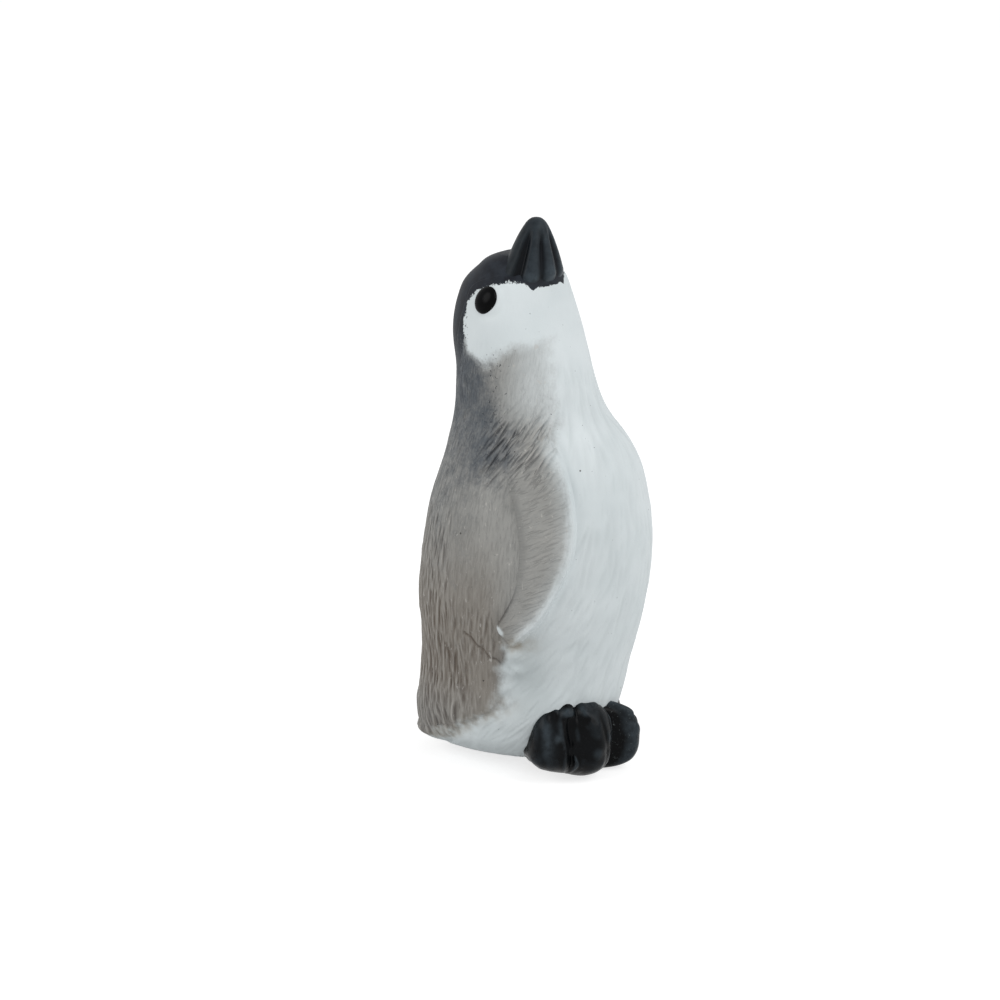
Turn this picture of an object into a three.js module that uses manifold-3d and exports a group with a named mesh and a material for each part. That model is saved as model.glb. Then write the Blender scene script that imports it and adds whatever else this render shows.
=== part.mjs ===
// Penguin chick figurine, standing upright with its beak raised.
// Two torso shells, two head shells, a beak, bead eyes, flippers and feet, each moulded by itself
// and plugged into its neighbour.
// Millimetres, +Z up. The chick faces -Y and its right side is on -X. The origin is on the ground.
import * as THREE from "three";
import { mergeVertices } from "three/addons/utils/BufferGeometryUtils.js";
import Module from "manifold-3d";

const wasm = await Module();
wasm.setup();

// Fits and walls
const CLEARANCE = 0.3; // between pieces that meet
const WALL = 1.8; // of the torso and head shells
const FLOOR = 3.2; // of the torso, over its underside
const BOSS_WALL = 1.1; // round a socket inside a shell

// A skin is a stack of stations. Each one has its rise above the one before and its reach from the
// skin's axis to the front, to the back and to either side.

// Torso: underside that rests on the ground, its turn in three steps, hip, flank, belly, breast,
// shoulder and throat. The neck is its last station.
const TORSO_RISE_HEIGHTS = [0, 0.7, 1.0, 1.0, 2.3, 5.0, 7.0, 7.0, 5.5, 3.0];
const TORSO_FRONT_DEPTHS = [0.8, 3.0, 5.2, 6.7, 7.9, 9.2, 10.8, 10.8, 9.2, 6.8];
const TORSO_BACK_DEPTHS = [5.8, 7.6, 8.9, 9.6, 10.2, 9.95, 10.05, 9.05, 7.4, 6.8];
const TORSO_SIDE_WIDTHS = [1.3, 3.0, 5.5, 7.5, 9.0, 9.6, 10.45, 9.85, 8.1, 6.7];
const NECK_HEIGHT = 3.5; // above the throat
const NECK_RADIUS = 6.1;
const NECK_BACKSET = 0.6; // of the neck's axis behind the torso's axis

// Line between the belly and back shells, seen from the side: how far forward it runs at each rise,
// from under the tail over the flank and the flipper to the neck
const TORSO_PARTING_RISE_HEIGHTS = [0, 3.5, 2.7, 4.0, 7.0, 8.0, 6.0, 7.0];
const TORSO_PARTING_DEPTHS = [-10.5, -7.6, -1.8, 1.4, 4.4, 5.4, 3.2, 0.2];

// Posts and pins that locate the torso shells on each other
const POST_HEIGHTS = [11, 24];
const POST_RADIUS = 1.9;
const PIN_RADIUS = 0.9;
const PIN_LENGTH = 2.2;
const PIN_ROOT = 1.1; // of a pin inside its own post

// Tail, about an axis of its own, from its underside that is clear of the ground
const TAIL_BACKSET = 9.0;
const TAIL_RISE_HEIGHTS = [1.2, 0.7, 2.3, 3.0];
const TAIL_FRONT_DEPTHS = [1.0, 1.3, 1.3, 1.0];
const TAIL_BACK_DEPTHS = [1.0, 1.6, 2.0, 1.2];
const TAIL_SIDE_WIDTHS = [2.2, 3.1, 3.9, 3.6];

// Head above the neck joint, turned about the neck's axis: cheek, eye, brow and crown
const HEAD_YAW = 24; // degrees, towards the chick's right
const HEAD_RISE_HEIGHTS = [3.7, 2.3, 1.8, 1.1, 1.1, 0.5];
const HEAD_FRONT_DEPTHS = [4.45, 3.5, 3.0, 2.7, 2.3, 1.6];
const HEAD_BACK_DEPTHS = [6.9, 6.6, 5.8, 4.6, 3.0, 1.5];
const HEAD_SIDE_WIDTHS = [5.85, 5.3, 4.6, 3.9, 3.0, 1.9];
const PLUG_RADIUS = 3.3; // of the head, in the neck
const PLUG_LENGTH = 4;

// Line between the face and cap shells, from the beak over the eye to the nape
const HEAD_PARTING_DEPTHS = [5.5, 0.2, -2.0, -2.9, -3.5, -4.3]; // forward of the neck's axis
const HEAD_PARTING_HEIGHTS = [8.9, 8.9, 8.0, 6.2, 3.0, 0];
const HEAD_ROOF = 1.0; // of the face shell, between the cavity and the line's top

// Beak, about an upright axis, from inside the head to its round tip
const BEAK_FORWARD = 1.3;
const BEAK_RISE_HEIGHTS = [7.0, 2.2, 1.6, 1.6, 0.8, 0.35, 0.15];
const BEAK_FRONT_DEPTHS = [1.9, 1.8, 1.6, 1.2, 0.88, 0.58, 0.2];
const BEAK_BACK_DEPTHS = [2.2, 2.5, 2.1, 1.38, 0.86, 0.55, 0.2];
const BEAK_SIDE_WIDTHS = [3.0, 2.95, 2.35, 1.55, 0.95, 0.6, 0.2];
const BEAK_GROOVES = [-78, -23, 23, 78]; // degrees from the front, mouth and jaw on either side
const BEAK_GROOVE_DEPTH = 0.3;
const BEAK_GROOVE_WIDTH = 9; // degrees
const BEAK_PEG_RADIUS = 1.1;
const BEAK_PEG_LENGTH = 3;

// Bead eyes
const EYE_HEIGHT = 6.75; // above the neck joint
const EYE_ANGLE = 92; // degrees from the front of the head
const EYE_RADIUS = 1.2;
const EYE_DOME = 0.75; // half of the bead's thickness
const EYE_SINK = 0.25; // of the bead's middle under the skin
const EYE_STEM_RADIUS = 0.45;
const EYE_STEM_LENGTH = 1.9;

// Flippers, lying on the torso, from the shoulder to the tip. Each station has its drop below the one
// before, the angles of the leading and trailing edges from the front in degrees, and how far the
// blade stands off the skin.
const FLIPPER_TOP = 32.2; // above the ground
const FLIPPER_DROP_LENGTHS = [0, 3.8, 4.4, 4.0, 3.2, 2.3, 1.3];
const FLIPPER_LEAD_ANGLES = [60, 50, 48, 53, 62, 72, 80];
const FLIPPER_TRAIL_ANGLES = [80, 85, 80, 79, 84, 89, 87];
const FLIPPER_THICKNESSES = [0.35, 0.75, 0.95, 1.05, 1.05, 1.0, 0.8];
const FLIPPER_ROOT = 0.8; // of the blade's inner face under the skin before it is cut to fit
const FLIPPER_SWELL = 0.6; // power of the blade's cross-section, blunter when smaller
const FLIPPER_RIM = 0.3; // rise of the rim along the leading edge, as a share of the thickness
const FLIPPER_RIM_ANGLE = 37; // degrees round the cross-section from the leading edge to the rim
const FLIPPER_RIM_SPREAD = 18; // degrees
const FLIPPER_PEG_DROP = 6.4; // below the top
const FLIPPER_PEG_ANGLE = 72; // degrees from the front
const FLIPPER_PEG_RADIUS = 0.9;
const FLIPPER_PEG_LENGTH = 3;
const FLIPPER_PEG_ROOT = 0.2; // of the peg inside the blade

// Feet. A paw is a ring of stations about an upright axis at the ankle, from straight behind past the
// inner, the middle and the outer toe with the grooves between them. Each has its turn outward from the
// one before in degrees, its reach from the axis, and the heights of its top and of its sole before
// the ground cuts it flat.
const ANKLE_SIDE = 3.0; // from the middle of the chick
const ANKLE_FORWARD = 3.2;
const ANKLE_RADIUS = 2.0;
const FOOT_TURN_ANGLES = [-180, 120, 30, 10, 11, 10, 19, 16, 21, 15, 16, 16, 21, 55];
const FOOT_REACH_LENGTHS = [2.5, 2.8, 5.5, 7.5, 7.5, 5.6, 6.4, 6.65, 5.3, 6.25, 6.2, 5.0, 3.6, 2.5];
const FOOT_TOP_HEIGHTS = [4.0, 4.0, 4.8, 5.8, 6.5, 6.6, 7.3, 7.4, 7.5, 7.7, 7.1, 4.8, 4.0, 4.0];
const FOOT_SOLE_HEIGHTS = [0.4, 0.4, 0.1, -0.2, -0.2, -0.1, -0.2, -0.2, 0.3, 0.6, 0.9, 1.6, 0.9, 0.4];
const FOOT_BULGE_HEIGHT = 2.9; // where the toes reach furthest
const FOOT_TOP_SWELL = 3.2; // power of the toes' profile over the bulge, blunter when larger
const FOOT_SOLE_SWELL = 2.2; // and under it
const FOOT_RING_SHARES = [-1, -0.97, -0.85, -0.6, -0.3, 0, 0.3, 0.6, 0.85, 0.97, 1]; // sole to top
const LEFT_FOOT_BACKSET = 1.8; // behind the right foot
const LEFT_FOOT_SHARE = 0.72; // of the right foot's height
const FOOT_PEG_FORWARD = 4.6;
const FOOT_PEG_HEIGHT = 0.5; // of its root above the ground
const FOOT_PEG_RADIUS = 1.2;
const FOOT_PEG_LENGTH = 3;

// Facets
const SIDES = 40; // round a skin that shows
const INNER_SIDES = 24; // round a cavity or the seat of another piece
const ROD_SIDES = 12;
const RINGS = 3; // from one station to the next
const INNER_RINGS = 2;

const rad = THREE.MathUtils.degToRad;
const lerp = THREE.MathUtils.lerp;

// A loft between closed loops that all have as many points and turn anticlockwise about the way
// from the first loop to the last. Both ends are closed flat.
function loft(loops) {
  const count = loops[0].length;
  const middle = (loop) => loop.reduce((sum, p) => sum.add(p), new THREE.Vector3()).divideScalar(count);
  const points = [...loops.flat(), middle(loops[0]), middle(loops.at(-1))];
  const last = (loops.length - 1) * count;
  const bottom = points.length - 2;
  const top = points.length - 1;
  const faces = [];
  for (let i = 0; i < count; i += 1) {
    const next = (i + 1) % count;
    for (let base = 0; base < last; base += count) {
      faces.push(base + i, base + next, base + count + next);
      faces.push(base + i, base + count + next, base + count + i);
    }
    faces.push(bottom, next, i);
    faces.push(top, last + i, last + next);
  }
  const geometry = new THREE.BufferGeometry().setFromPoints(points);
  geometry.setIndex(faces);
  return geometry;
}

// A closed geometry as a solid that can be joined and cut, and back
function solidOf(geometry) {
  const bare = geometry.clone();
  bare.deleteAttribute("normal");
  bare.deleteAttribute("uv");
  const merged = mergeVertices(bare);
  const vertProperties = new Float32Array(merged.attributes.position.array);
  const triVerts = new Uint32Array(merged.index.array);
  return new wasm.Manifold(new wasm.Mesh({ numProp: 3, vertProperties, triVerts }));
}

function geometryOf(solid) {
  const { vertProperties, triVerts } = solid.getMesh();
  const geometry = new THREE.BufferGeometry();
  geometry.setAttribute("position", new THREE.BufferAttribute(vertProperties, 3));
  geometry.setIndex(new THREE.BufferAttribute(triVerts, 1));
  geometry.computeVertexNormals();
  return geometry;
}

// A round rod between two points
function rod(from, to, radius) {
  const way = to.clone().sub(from);
  const geometry = new THREE.CylinderGeometry(radius, radius, way.length(), ROD_SIDES);
  const up = new THREE.Vector3(0, 1, 0);
  geometry.applyQuaternion(new THREE.Quaternion().setFromUnitVectors(up, way.clone().normalize()));
  geometry.translate(...from.clone().lerp(to, 0.5));
  return solidOf(geometry);
}

// An ellipsoid about the origin
function ellipsoid(x, y, z) {
  return new THREE.SphereGeometry(1, ROD_SIDES, ROD_SIDES / 2).scale(x, y, z);
}

// Smooth values over stations whose steps add up to their places
function smooth(steps, ...columns) {
  let place = 0;
  const places = steps.map((step) => (place += step));
  const values = steps.flatMap((_, i) => columns.map((column) => column[i]));
  const curve = new THREE.CubicInterpolant(places, values, columns.length);
  const at = (where) => [...curve.evaluate(THREE.MathUtils.clamp(where, places[0], place))];
  return { places, first: places[0], last: place, at };
}

function between(places, rings = RINGS) {
  const steps = [];
  for (let s = 0; s < places.length - 1; s += 1) {
    for (let r = 0; r < rings; r += 1) {
      steps.push(lerp(places[s], places[s + 1], r / rings));
    }
  }
  return [...steps, places.at(-1)];
}

const turn = (count) => Array.from({ length: count }, (_, i) => (i * 2 * Math.PI) / count);

// The point of a skin at a height and an angle from the front that grows towards +X, and the solid
// inside it. A skin that is grown stands that far off, and one grown by less than 0 lies inside.
function skinPoint(skin, height, angle, grow = 0) {
  const [front, back, side] = skin.at(height);
  const along = Math.cos(angle) > 0 ? front : back;
  return new THREE.Vector3((side + grow) * Math.sin(angle), -(along + grow) * Math.cos(angle), height);
}

function skinNormal(skin, height, angle) {
  const small = 0.05;
  const here = skinPoint(skin, height, angle);
  const round = skinPoint(skin, height, angle + small).sub(here);
  const up = skinPoint(skin, height + small, angle).sub(here);
  return round.cross(up).normalize();
}

function skinSolid(skin, grow = 0, from = skin.first - grow, to = skin.last + grow) {
  const [sides, rings] = grow === 0 ? [SIDES, RINGS] : [INNER_SIDES, INNER_RINGS];
  const inner = between(skin.places, rings).filter((height) => height > from && height < to);
  const loops = [from, ...inner, to].map((height) =>
    turn(sides).map((angle) => skinPoint(skin, height, angle, grow)),
  );
  return solidOf(loft(loops));
}

const torso = smooth(
  [...TORSO_RISE_HEIGHTS, NECK_HEIGHT],
  [...TORSO_FRONT_DEPTHS, NECK_RADIUS - NECK_BACKSET],
  [...TORSO_BACK_DEPTHS, NECK_RADIUS + NECK_BACKSET],
  [...TORSO_SIDE_WIDTHS, NECK_RADIUS],
);
const head = smooth(
  [0, ...HEAD_RISE_HEIGHTS],
  [NECK_RADIUS, ...HEAD_FRONT_DEPTHS],
  [NECK_RADIUS, ...HEAD_BACK_DEPTHS],
  [NECK_RADIUS, ...HEAD_SIDE_WIDTHS],
);
const tail = smooth(TAIL_RISE_HEIGHTS, TAIL_FRONT_DEPTHS, TAIL_BACK_DEPTHS, TAIL_SIDE_WIDTHS);
const beak = smooth(BEAK_RISE_HEIGHTS, BEAK_FRONT_DEPTHS, BEAK_BACK_DEPTHS, BEAK_SIDE_WIDTHS);
const neck = new THREE.Vector3(0, NECK_BACKSET, torso.last);
const far = 2 * torso.last; // beyond every piece

const torsoSolid = skinSolid(torso);
const torsoSeat = skinSolid(torso, CLEARANCE);
const headSolid = skinSolid(head);
const headSeat = skinSolid(head, CLEARANCE);

// A solid as wide as the chick whose side view is an outline of forward and height
function sideBlock(outline) {
  const shape = new THREE.Shape(outline.map(([forward, height]) => new THREE.Vector2(forward, height)));
  const geometry = new THREE.ExtrudeGeometry(shape, { depth: 2 * far, bevelEnabled: false });
  const forward = new THREE.Vector3(0, -1, 0);
  const up = new THREE.Vector3(0, 0, 1);
  const across = new THREE.Vector3(-1, 0, 0);
  geometry.applyMatrix4(new THREE.Matrix4().makeBasis(forward, up, across));
  geometry.translate(far, 0, 0);
  return solidOf(geometry);
}

// Pegs and sockets: a rod that starts at a seat and runs inward, and its socket with room all round
function peg(seat, inward, radius, length, grow = 0) {
  const start = seat.clone().addScaledVector(inward, -grow);
  return rod(start, seat.clone().addScaledVector(inward, length + grow), radius + grow);
}

function footPeg(side, grow = 0) {
  const seat = new THREE.Vector3(side * ANKLE_SIDE, -FOOT_PEG_FORWARD, FOOT_PEG_HEIGHT);
  return peg(seat, new THREE.Vector3(0, 0, 1), FOOT_PEG_RADIUS, FOOT_PEG_LENGTH, grow);
}

function flipperPeg(side, grow = 0) {
  const height = FLIPPER_TOP - FLIPPER_PEG_DROP;
  const seat = skinPoint(torso, height, side * rad(FLIPPER_PEG_ANGLE), CLEARANCE + FLIPPER_PEG_ROOT);
  const inward = new THREE.Vector3(-seat.x, -seat.y, 0).normalize();
  return peg(seat, inward, FLIPPER_PEG_RADIUS, FLIPPER_PEG_LENGTH, grow);
}

// Torso shells, with the tail on the back one
function tailSolid(grow) {
  return skinSolid(tail, grow, tail.first - grow, tail.last + grow).translate([0, TAIL_BACKSET, 0]);
}

function torsoShells() {
  const line = smooth(TORSO_PARTING_RISE_HEIGHTS, TORSO_PARTING_DEPTHS);
  const edge = between(line.places).map((height) => [line.at(height)[0], height]);
  const front = sideBlock([...edge, [far, far], [far, -far], [edge[0][0], -far]]);
  const frontGrown = front.translate([0, CLEARANCE, CLEARANCE / 2]);
  const cavityTop = torso.last - PLUG_LENGTH - WALL;
  const cavity = skinSolid(torso, -WALL, torso.first + FLOOR, cavityTop);
  const posts = POST_HEIGHTS.map((height) =>
    rod(new THREE.Vector3(0, -far, height), new THREE.Vector3(0, far, height), POST_RADIUS),
  );
  const pegs = [-1, 1].flatMap((side) => [footPeg, flipperPeg].map((grown) => (grow) => grown(side, grow)));
  const bosses = [...posts, ...pegs.map((grown) => grown(CLEARANCE + BOSS_WALL))];
  const joined = bosses.reduce((sum, boss) => sum.add(boss)).intersect(torsoSolid);
  const bored = pegs.reduce(
    (shell, grown) => shell.subtract(grown(CLEARANCE)),
    torsoSolid.subtract(cavity).add(joined),
  );
  const bore = neck.clone().setZ(neck.z - PLUG_LENGTH - CLEARANCE);
  const shell = bored.subtract(rod(bore, neck.clone().setZ(far), PLUG_RADIUS + CLEARANCE));
  const pins = POST_HEIGHTS.map((height) => (grow) => {
    const root = new THREE.Vector3(0, PIN_ROOT - PIN_LENGTH - line.at(height)[0], height);
    return peg(root, new THREE.Vector3(0, 1, 0), PIN_RADIUS, PIN_ROOT + PIN_LENGTH, grow);
  });
  return {
    belly: pins.reduce(
      (solid, grown) => solid.add(grown(0)),
      shell.intersect(front).subtract(tailSolid(CLEARANCE)),
    ),
    back: pins.reduce(
      (solid, grown) => solid.subtract(grown(CLEARANCE)),
      shell.subtract(frontGrown).add(tailSolid(0)),
    ),
  };
}

// Beak with its grooves, cut to sit on the head
function beakPeg(grow) {
  const seat = new THREE.Vector3(0, -BEAK_FORWARD, head.last + CLEARANCE);
  return peg(seat, new THREE.Vector3(0, 0, -1), BEAK_PEG_RADIUS, BEAK_PEG_LENGTH, grow);
}

function beakSolid() {
  const groove = (angle) =>
    BEAK_GROOVES.reduce((sum, place) => {
      const away = THREE.MathUtils.euclideanModulo(angle - rad(place) + Math.PI, 2 * Math.PI) - Math.PI;
      return sum + Math.exp(-((away / rad(BEAK_GROOVE_WIDTH)) ** 2));
    }, 0);
  const loops = between(beak.places).map((height) => {
    const depth = BEAK_GROOVE_DEPTH * Math.min(1, (beak.last - height) / (beak.last - head.last));
    return turn(SIDES).map((angle) => skinPoint(beak, height, angle, -depth * groove(angle)));
  });
  const cone = solidOf(loft(loops)).translate([0, -BEAK_FORWARD, 0]);
  return cone.subtract(headSeat).add(beakPeg(0));
}

// Bead eyes on stems
function eyeSolid(side, grow) {
  const angle = side * rad(EYE_ANGLE);
  const normal = skinNormal(head, EYE_HEIGHT, angle);
  const middle = skinPoint(head, EYE_HEIGHT, angle).addScaledVector(normal, -EYE_SINK);
  const bead = ellipsoid(EYE_RADIUS + grow, EYE_DOME + grow, EYE_RADIUS + grow);
  bead.applyQuaternion(new THREE.Quaternion().setFromUnitVectors(new THREE.Vector3(0, 1, 0), normal));
  bead.translate(...middle);
  const stem = peg(middle, normal.clone().negate(), EYE_STEM_RADIUS, EYE_STEM_LENGTH, grow);
  return solidOf(bead).add(stem);
}

// Head shells, with the plug on the face one
function headShells() {
  const points = HEAD_PARTING_DEPTHS.map((depth, i) => new THREE.Vector2(depth, HEAD_PARTING_HEIGHTS[i]));
  const line = new THREE.SplineCurve(points).getPoints(RINGS * points.length);
  const edge = line.map(({ x, y }) => [x, y]);
  const corners = [[-far, -far], [-far, far], [far, far]];
  const behind = sideBlock([...edge, [edge.at(-1)[0], -far], ...corners, [far, edge[0][1]]]);
  const behindGrown = behind.translate([0, -CLEARANCE, -CLEARANCE]);
  const cavity = skinSolid(head, -WALL, WALL, HEAD_PARTING_HEIGHTS[0] - HEAD_ROOF);
  const shell = headSolid.subtract(cavity).subtract(beakPeg(CLEARANCE));
  const plug = rod(new THREE.Vector3(0, 0, -PLUG_LENGTH), new THREE.Vector3(0, 0, WALL / 2), PLUG_RADIUS);
  const face = [-1, 1].reduce(
    (solid, side) => solid.subtract(eyeSolid(side, CLEARANCE)),
    shell.subtract(behindGrown).add(plug),
  );
  return { face, cap: shell.intersect(behind) };
}

// Flipper blade, cut to lie on the torso, with its peg
function flipperSolid(side) {
  const blade = smooth(FLIPPER_DROP_LENGTHS, FLIPPER_LEAD_ANGLES, FLIPPER_TRAIL_ANGLES, FLIPPER_THICKNESSES);
  const loops = between(blade.places, INNER_RINGS).map((drop) => {
    const [lead, trail, thickness] = blade.at(drop);
    const loop = turn(INNER_SIDES).map((round) => {
      const angle = lerp(trail, lead, (1 + Math.cos(round)) / 2);
      const swell = Math.abs(Math.sin(round)) ** FLIPPER_SWELL;
      const rim = Math.exp(-(((round - rad(FLIPPER_RIM_ANGLE)) / rad(FLIPPER_RIM_SPREAD)) ** 2));
      const off = Math.sin(round) > 0 ? thickness * (swell + FLIPPER_RIM * rim) : -FLIPPER_ROOT * swell;
      return skinPoint(torso, FLIPPER_TOP - drop, side * rad(angle), off);
    });
    return side > 0 ? loop.reverse() : loop;
  });
  return solidOf(loft(loops)).subtract(torsoSeat).add(flipperPeg(side));
}

// Foot with three toes and a peg, cut flat by the ground and to fit the belly
function footSolid(side) {
  const [backset, share] = side > 0 ? [LEFT_FOOT_BACKSET, LEFT_FOOT_SHARE] : [0, 1];
  const paw = smooth(FOOT_TURN_ANGLES, FOOT_REACH_LENGTHS, FOOT_TOP_HEIGHTS, FOOT_SOLE_HEIGHTS);
  const angles = between(paw.places).slice(1);
  const loops = FOOT_RING_SHARES.map((ring) => {
    const power = ring > 0 ? FOOT_TOP_SWELL : FOOT_SOLE_SWELL;
    const swell = (1 - Math.abs(ring) ** power) ** (1 / power);
    const loop = angles.map((angle) => {
      const [reach, top, sole] = paw.at(angle);
      const out = lerp(ANKLE_RADIUS, reach, swell);
      const sideways = side * (ANKLE_SIDE + out * Math.sin(rad(angle)));
      const ahead = ANKLE_FORWARD - backset + out * Math.cos(rad(angle));
      const height = share * lerp(FOOT_BULGE_HEIGHT, ring > 0 ? top : sole, Math.abs(ring));
      return new THREE.Vector3(sideways, -ahead, height);
    });
    return side > 0 ? loop : loop.reverse();
  });
  const ground = solidOf(new THREE.BoxGeometry(far, far, far)).translate([0, 0, -far / 2]);
  return solidOf(loft(loops)).subtract(ground).subtract(torsoSeat).add(footPeg(side));
}

// The figurine
const WHITE = { color: 0xd6dddf, roughness: 0.55, metalness: 0 };
const TAUPE = { color: 0x86827c, roughness: 0.65, metalness: 0 };
const CHARCOAL = { color: 0x35393e, roughness: 0.55, metalness: 0 };
const BLACK = { color: 0x1d1e21, roughness: 0.35, metalness: 0 };

function piece(name, solid, finish) {
  const mesh = new THREE.Mesh(geometryOf(solid), new THREE.MeshStandardMaterial(finish));
  mesh.name = name;
  return mesh;
}

const chick = new THREE.Group();
const { belly, back } = torsoShells();
chick.add(piece("belly_shell", belly, WHITE), piece("back_shell", back, TAUPE));

const headGroup = new THREE.Group();
headGroup.position.copy(neck).setZ(neck.z + CLEARANCE);
headGroup.rotation.z = -rad(HEAD_YAW);
const { face, cap } = headShells();
headGroup.add(piece("face_shell", face, WHITE), piece("cap_shell", cap, CHARCOAL));
headGroup.add(piece("beak", beakSolid(), BLACK));
chick.add(headGroup);

Object.entries({ left: 1, right: -1 }).forEach(([name, side]) => {
  headGroup.add(piece(`${name}_eye`, eyeSolid(side, 0), BLACK));
  chick.add(piece(`${name}_flipper`, flipperSolid(side), TAUPE));
  chick.add(piece(`${name}_foot`, footSolid(side), BLACK));
});

export default chick;
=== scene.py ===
"""A small painted penguin chick figurine, standing upright with its beak raised.

Lengths are in millimetres until a mesh is made. An angle on the body is measured from its front, and one in
degrees counts alike on both sides.
"""

from math import cos, pi, radians, sin

import bpy
import numpy as np
from mathutils import Matrix, Vector

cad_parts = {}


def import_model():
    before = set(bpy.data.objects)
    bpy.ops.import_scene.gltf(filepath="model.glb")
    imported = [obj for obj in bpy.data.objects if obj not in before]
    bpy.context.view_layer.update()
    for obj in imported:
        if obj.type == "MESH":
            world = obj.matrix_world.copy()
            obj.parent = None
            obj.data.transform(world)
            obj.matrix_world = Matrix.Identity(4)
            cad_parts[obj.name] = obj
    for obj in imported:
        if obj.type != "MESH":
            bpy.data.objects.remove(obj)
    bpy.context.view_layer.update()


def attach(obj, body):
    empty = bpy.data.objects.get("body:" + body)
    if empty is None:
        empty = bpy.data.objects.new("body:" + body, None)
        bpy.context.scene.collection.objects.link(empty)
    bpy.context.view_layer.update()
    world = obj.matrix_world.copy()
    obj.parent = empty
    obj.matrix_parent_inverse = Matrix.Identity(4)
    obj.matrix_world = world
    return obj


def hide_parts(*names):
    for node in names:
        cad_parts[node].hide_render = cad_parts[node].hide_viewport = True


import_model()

MM = 0.001
TAU = 2 * pi

# Stations of the skins: height, and reach to the front, to the back and to either side
TORSO = [
    (0.0, 0.8, 5.8, 1.3), (0.7, 3.0, 7.9, 3.5), (1.7, 5.2, 9.1, 5.9), (2.7, 6.7, 9.6, 7.5),
    (5.0, 7.9, 10.2, 9.0), (10.0, 9.2, 9.95, 9.6), (17.0, 10.8, 10.05, 10.45), (24.0, 10.8, 9.05, 9.85),
    (29.5, 9.2, 7.4, 8.1), (32.5, 6.8, 6.8, 6.7), (36.0, 5.5, 6.7, 6.1),
]
HEAD = [
    (0.0, 6.1, 6.1, 6.1), (3.7, 4.45, 6.9, 5.85), (6.0, 3.5, 6.6, 5.3), (7.8, 3.0, 5.8, 4.6),
    (8.9, 2.7, 4.6, 3.9), (10.0, 2.3, 3.0, 3.0), (10.5, 1.6, 1.5, 1.9),
]
BEAK = [
    (7.6, 1.2, 2.2, 2.45), (8.1, 1.6, 2.55, 2.85), (8.7, 1.9, 2.72, 3.0), (9.4, 1.85, 2.5, 2.8),
    (10.8, 1.58, 2.1, 2.3), (12.4, 1.18, 1.38, 1.5), (13.0, 0.98, 1.02, 1.1), (13.35, 0.76, 0.76, 0.82),
    (13.55, 0.54, 0.52, 0.56), (13.66, 0.3, 0.28, 0.3), (13.7, 0.05, 0.05, 0.05),
]
NECK = np.array([0.0, 0.6, 36.0])
HEAD_GAP = 0.3  # from the top of the neck to the head's zero height
HEAD_YAW = radians(24)
BEAK_FORWARD = 1.3
BEAK_GROOVES = ((-78, 13, 1.25), (-23, 9, 0.8), (23, 9, 0.8), (78, 13, 1.25))  # turn, half width, share
BEAK_GROOVE_DEPTH = 0.36
TOP = 46.6  # of the crown

# Lines between the shells: height and forward
TORSO_PARTING = [
    (0, -10.5), (3.5, -7.6), (6.2, -1.8), (10.2, 1.4), (17.2, 4.4), (25.2, 5.4), (31.2, 3.2), (38.2, 0.2),
]
HEAD_PARTING = [(0, -4.3), (3.0, -3.5), (6.2, -2.9), (8.0, -2.0), (8.9, 0.2)]
CROWN_START = 8.9  # all round the head belongs to the cap above this height
NECK_LAP = 0.35  # how far the torso goes on into the head
NECK_INSET = 0.04  # of the torso's last row

# Distance between the rows of a mesh, and numbers of rows and columns
TORSO_STEP = 0.165
HEAD_STEP = 0.1
BELLY_COLUMNS = 541
BACK_COLUMNS = 601
FACE_COLUMNS = 201
CAP_COLUMNS = 171
FLIPPER_ROWS = 200
FLIPPER_COLUMNS = 141
BEAK_ROWS = 90
BEAK_COLUMNS = 220
EYE_ROWS = 41
EYE_COLUMNS = 64
FOOT_ROWS = 111
FOOT_SPANS = ((-180, -60, 20), (-60, 125, 340), (125, 180, 10))  # in degrees, with their columns

# Flipper outline: height, and the angles of its leading and trailing edges in degrees
FLIPPER = [
    (33.2, 60, 84), (31.3, 54, 89), (28.4, 50.5, 87), (26.0, 49, 82), (24.0, 49, 79.5), (22.0, 50.5, 78),
    (20.0, 54, 79), (18.0, 59, 81.5), (16.4, 64, 85.5), (15.0, 69.5, 89.3), (14.4, 72.5, 88.4),
    (13.7, 76, 85.7), (13.2, 78.6, 83), (12.9, 80.2, 81.2),
]
FLIPPER_TIP = 12.92
FLIPPER_TOP = 33.2
FLIPPER_SINK = 0.12  # of its edge below the skin
FLIPPER_ROOT = 0.35  # depth of its inner face below the skin

# Eyes: height above the neck joint, angle from the front of the head, and the bead's size and slant
EYE_HEIGHT = 6.8
EYE_ANGLE = radians(92)
EYE_TILT = radians(24)
EYE_LONG = 1.28
EYE_SHORT = 1.12
EYE_BULGE = 0.55
EYE_SINK = 0.12

# Edge of the taupe coat on the torso: height, and angle in degrees
COAT_EDGE = [
    (0.0, 175), (1.6, 165), (2.4, 146), (3.3, 130), (4.1, 122), (5.2, 112), (6.2, 100), (7.0, 92),
    (8.5, 87.5), (11, 86), (13, 85), (15, 84), (18, 76), (24, 64), (29, 62), (32.5, 57), (36, 55), (50, 55),
]
# Edges of the cap and of the white face, seen from the side of the head: forward and height
CAP_EDGE = [
    (-4.6, -8.0), (-3.6, -3.0), (-2.7, 0.8), (-2.3, 3.0), (-2.6, 4.7), (-2.5, 6.3), (-1.7, 7.3), (-0.7, 7.8),
    (0.4, 8.15), (1.6, 8.4), (2.9, 8.1), (9.0, 8.0),
]
FACE_EDGE = [
    (-9.0, 3.4), (-2.4, 2.9), (-1.8, 2.0), (-0.1, 1.4), (0.9, 1.2), (1.8, 2.0), (2.8, 2.9), (4.4, 3.1),
    (9.0, 3.1),
]

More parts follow.
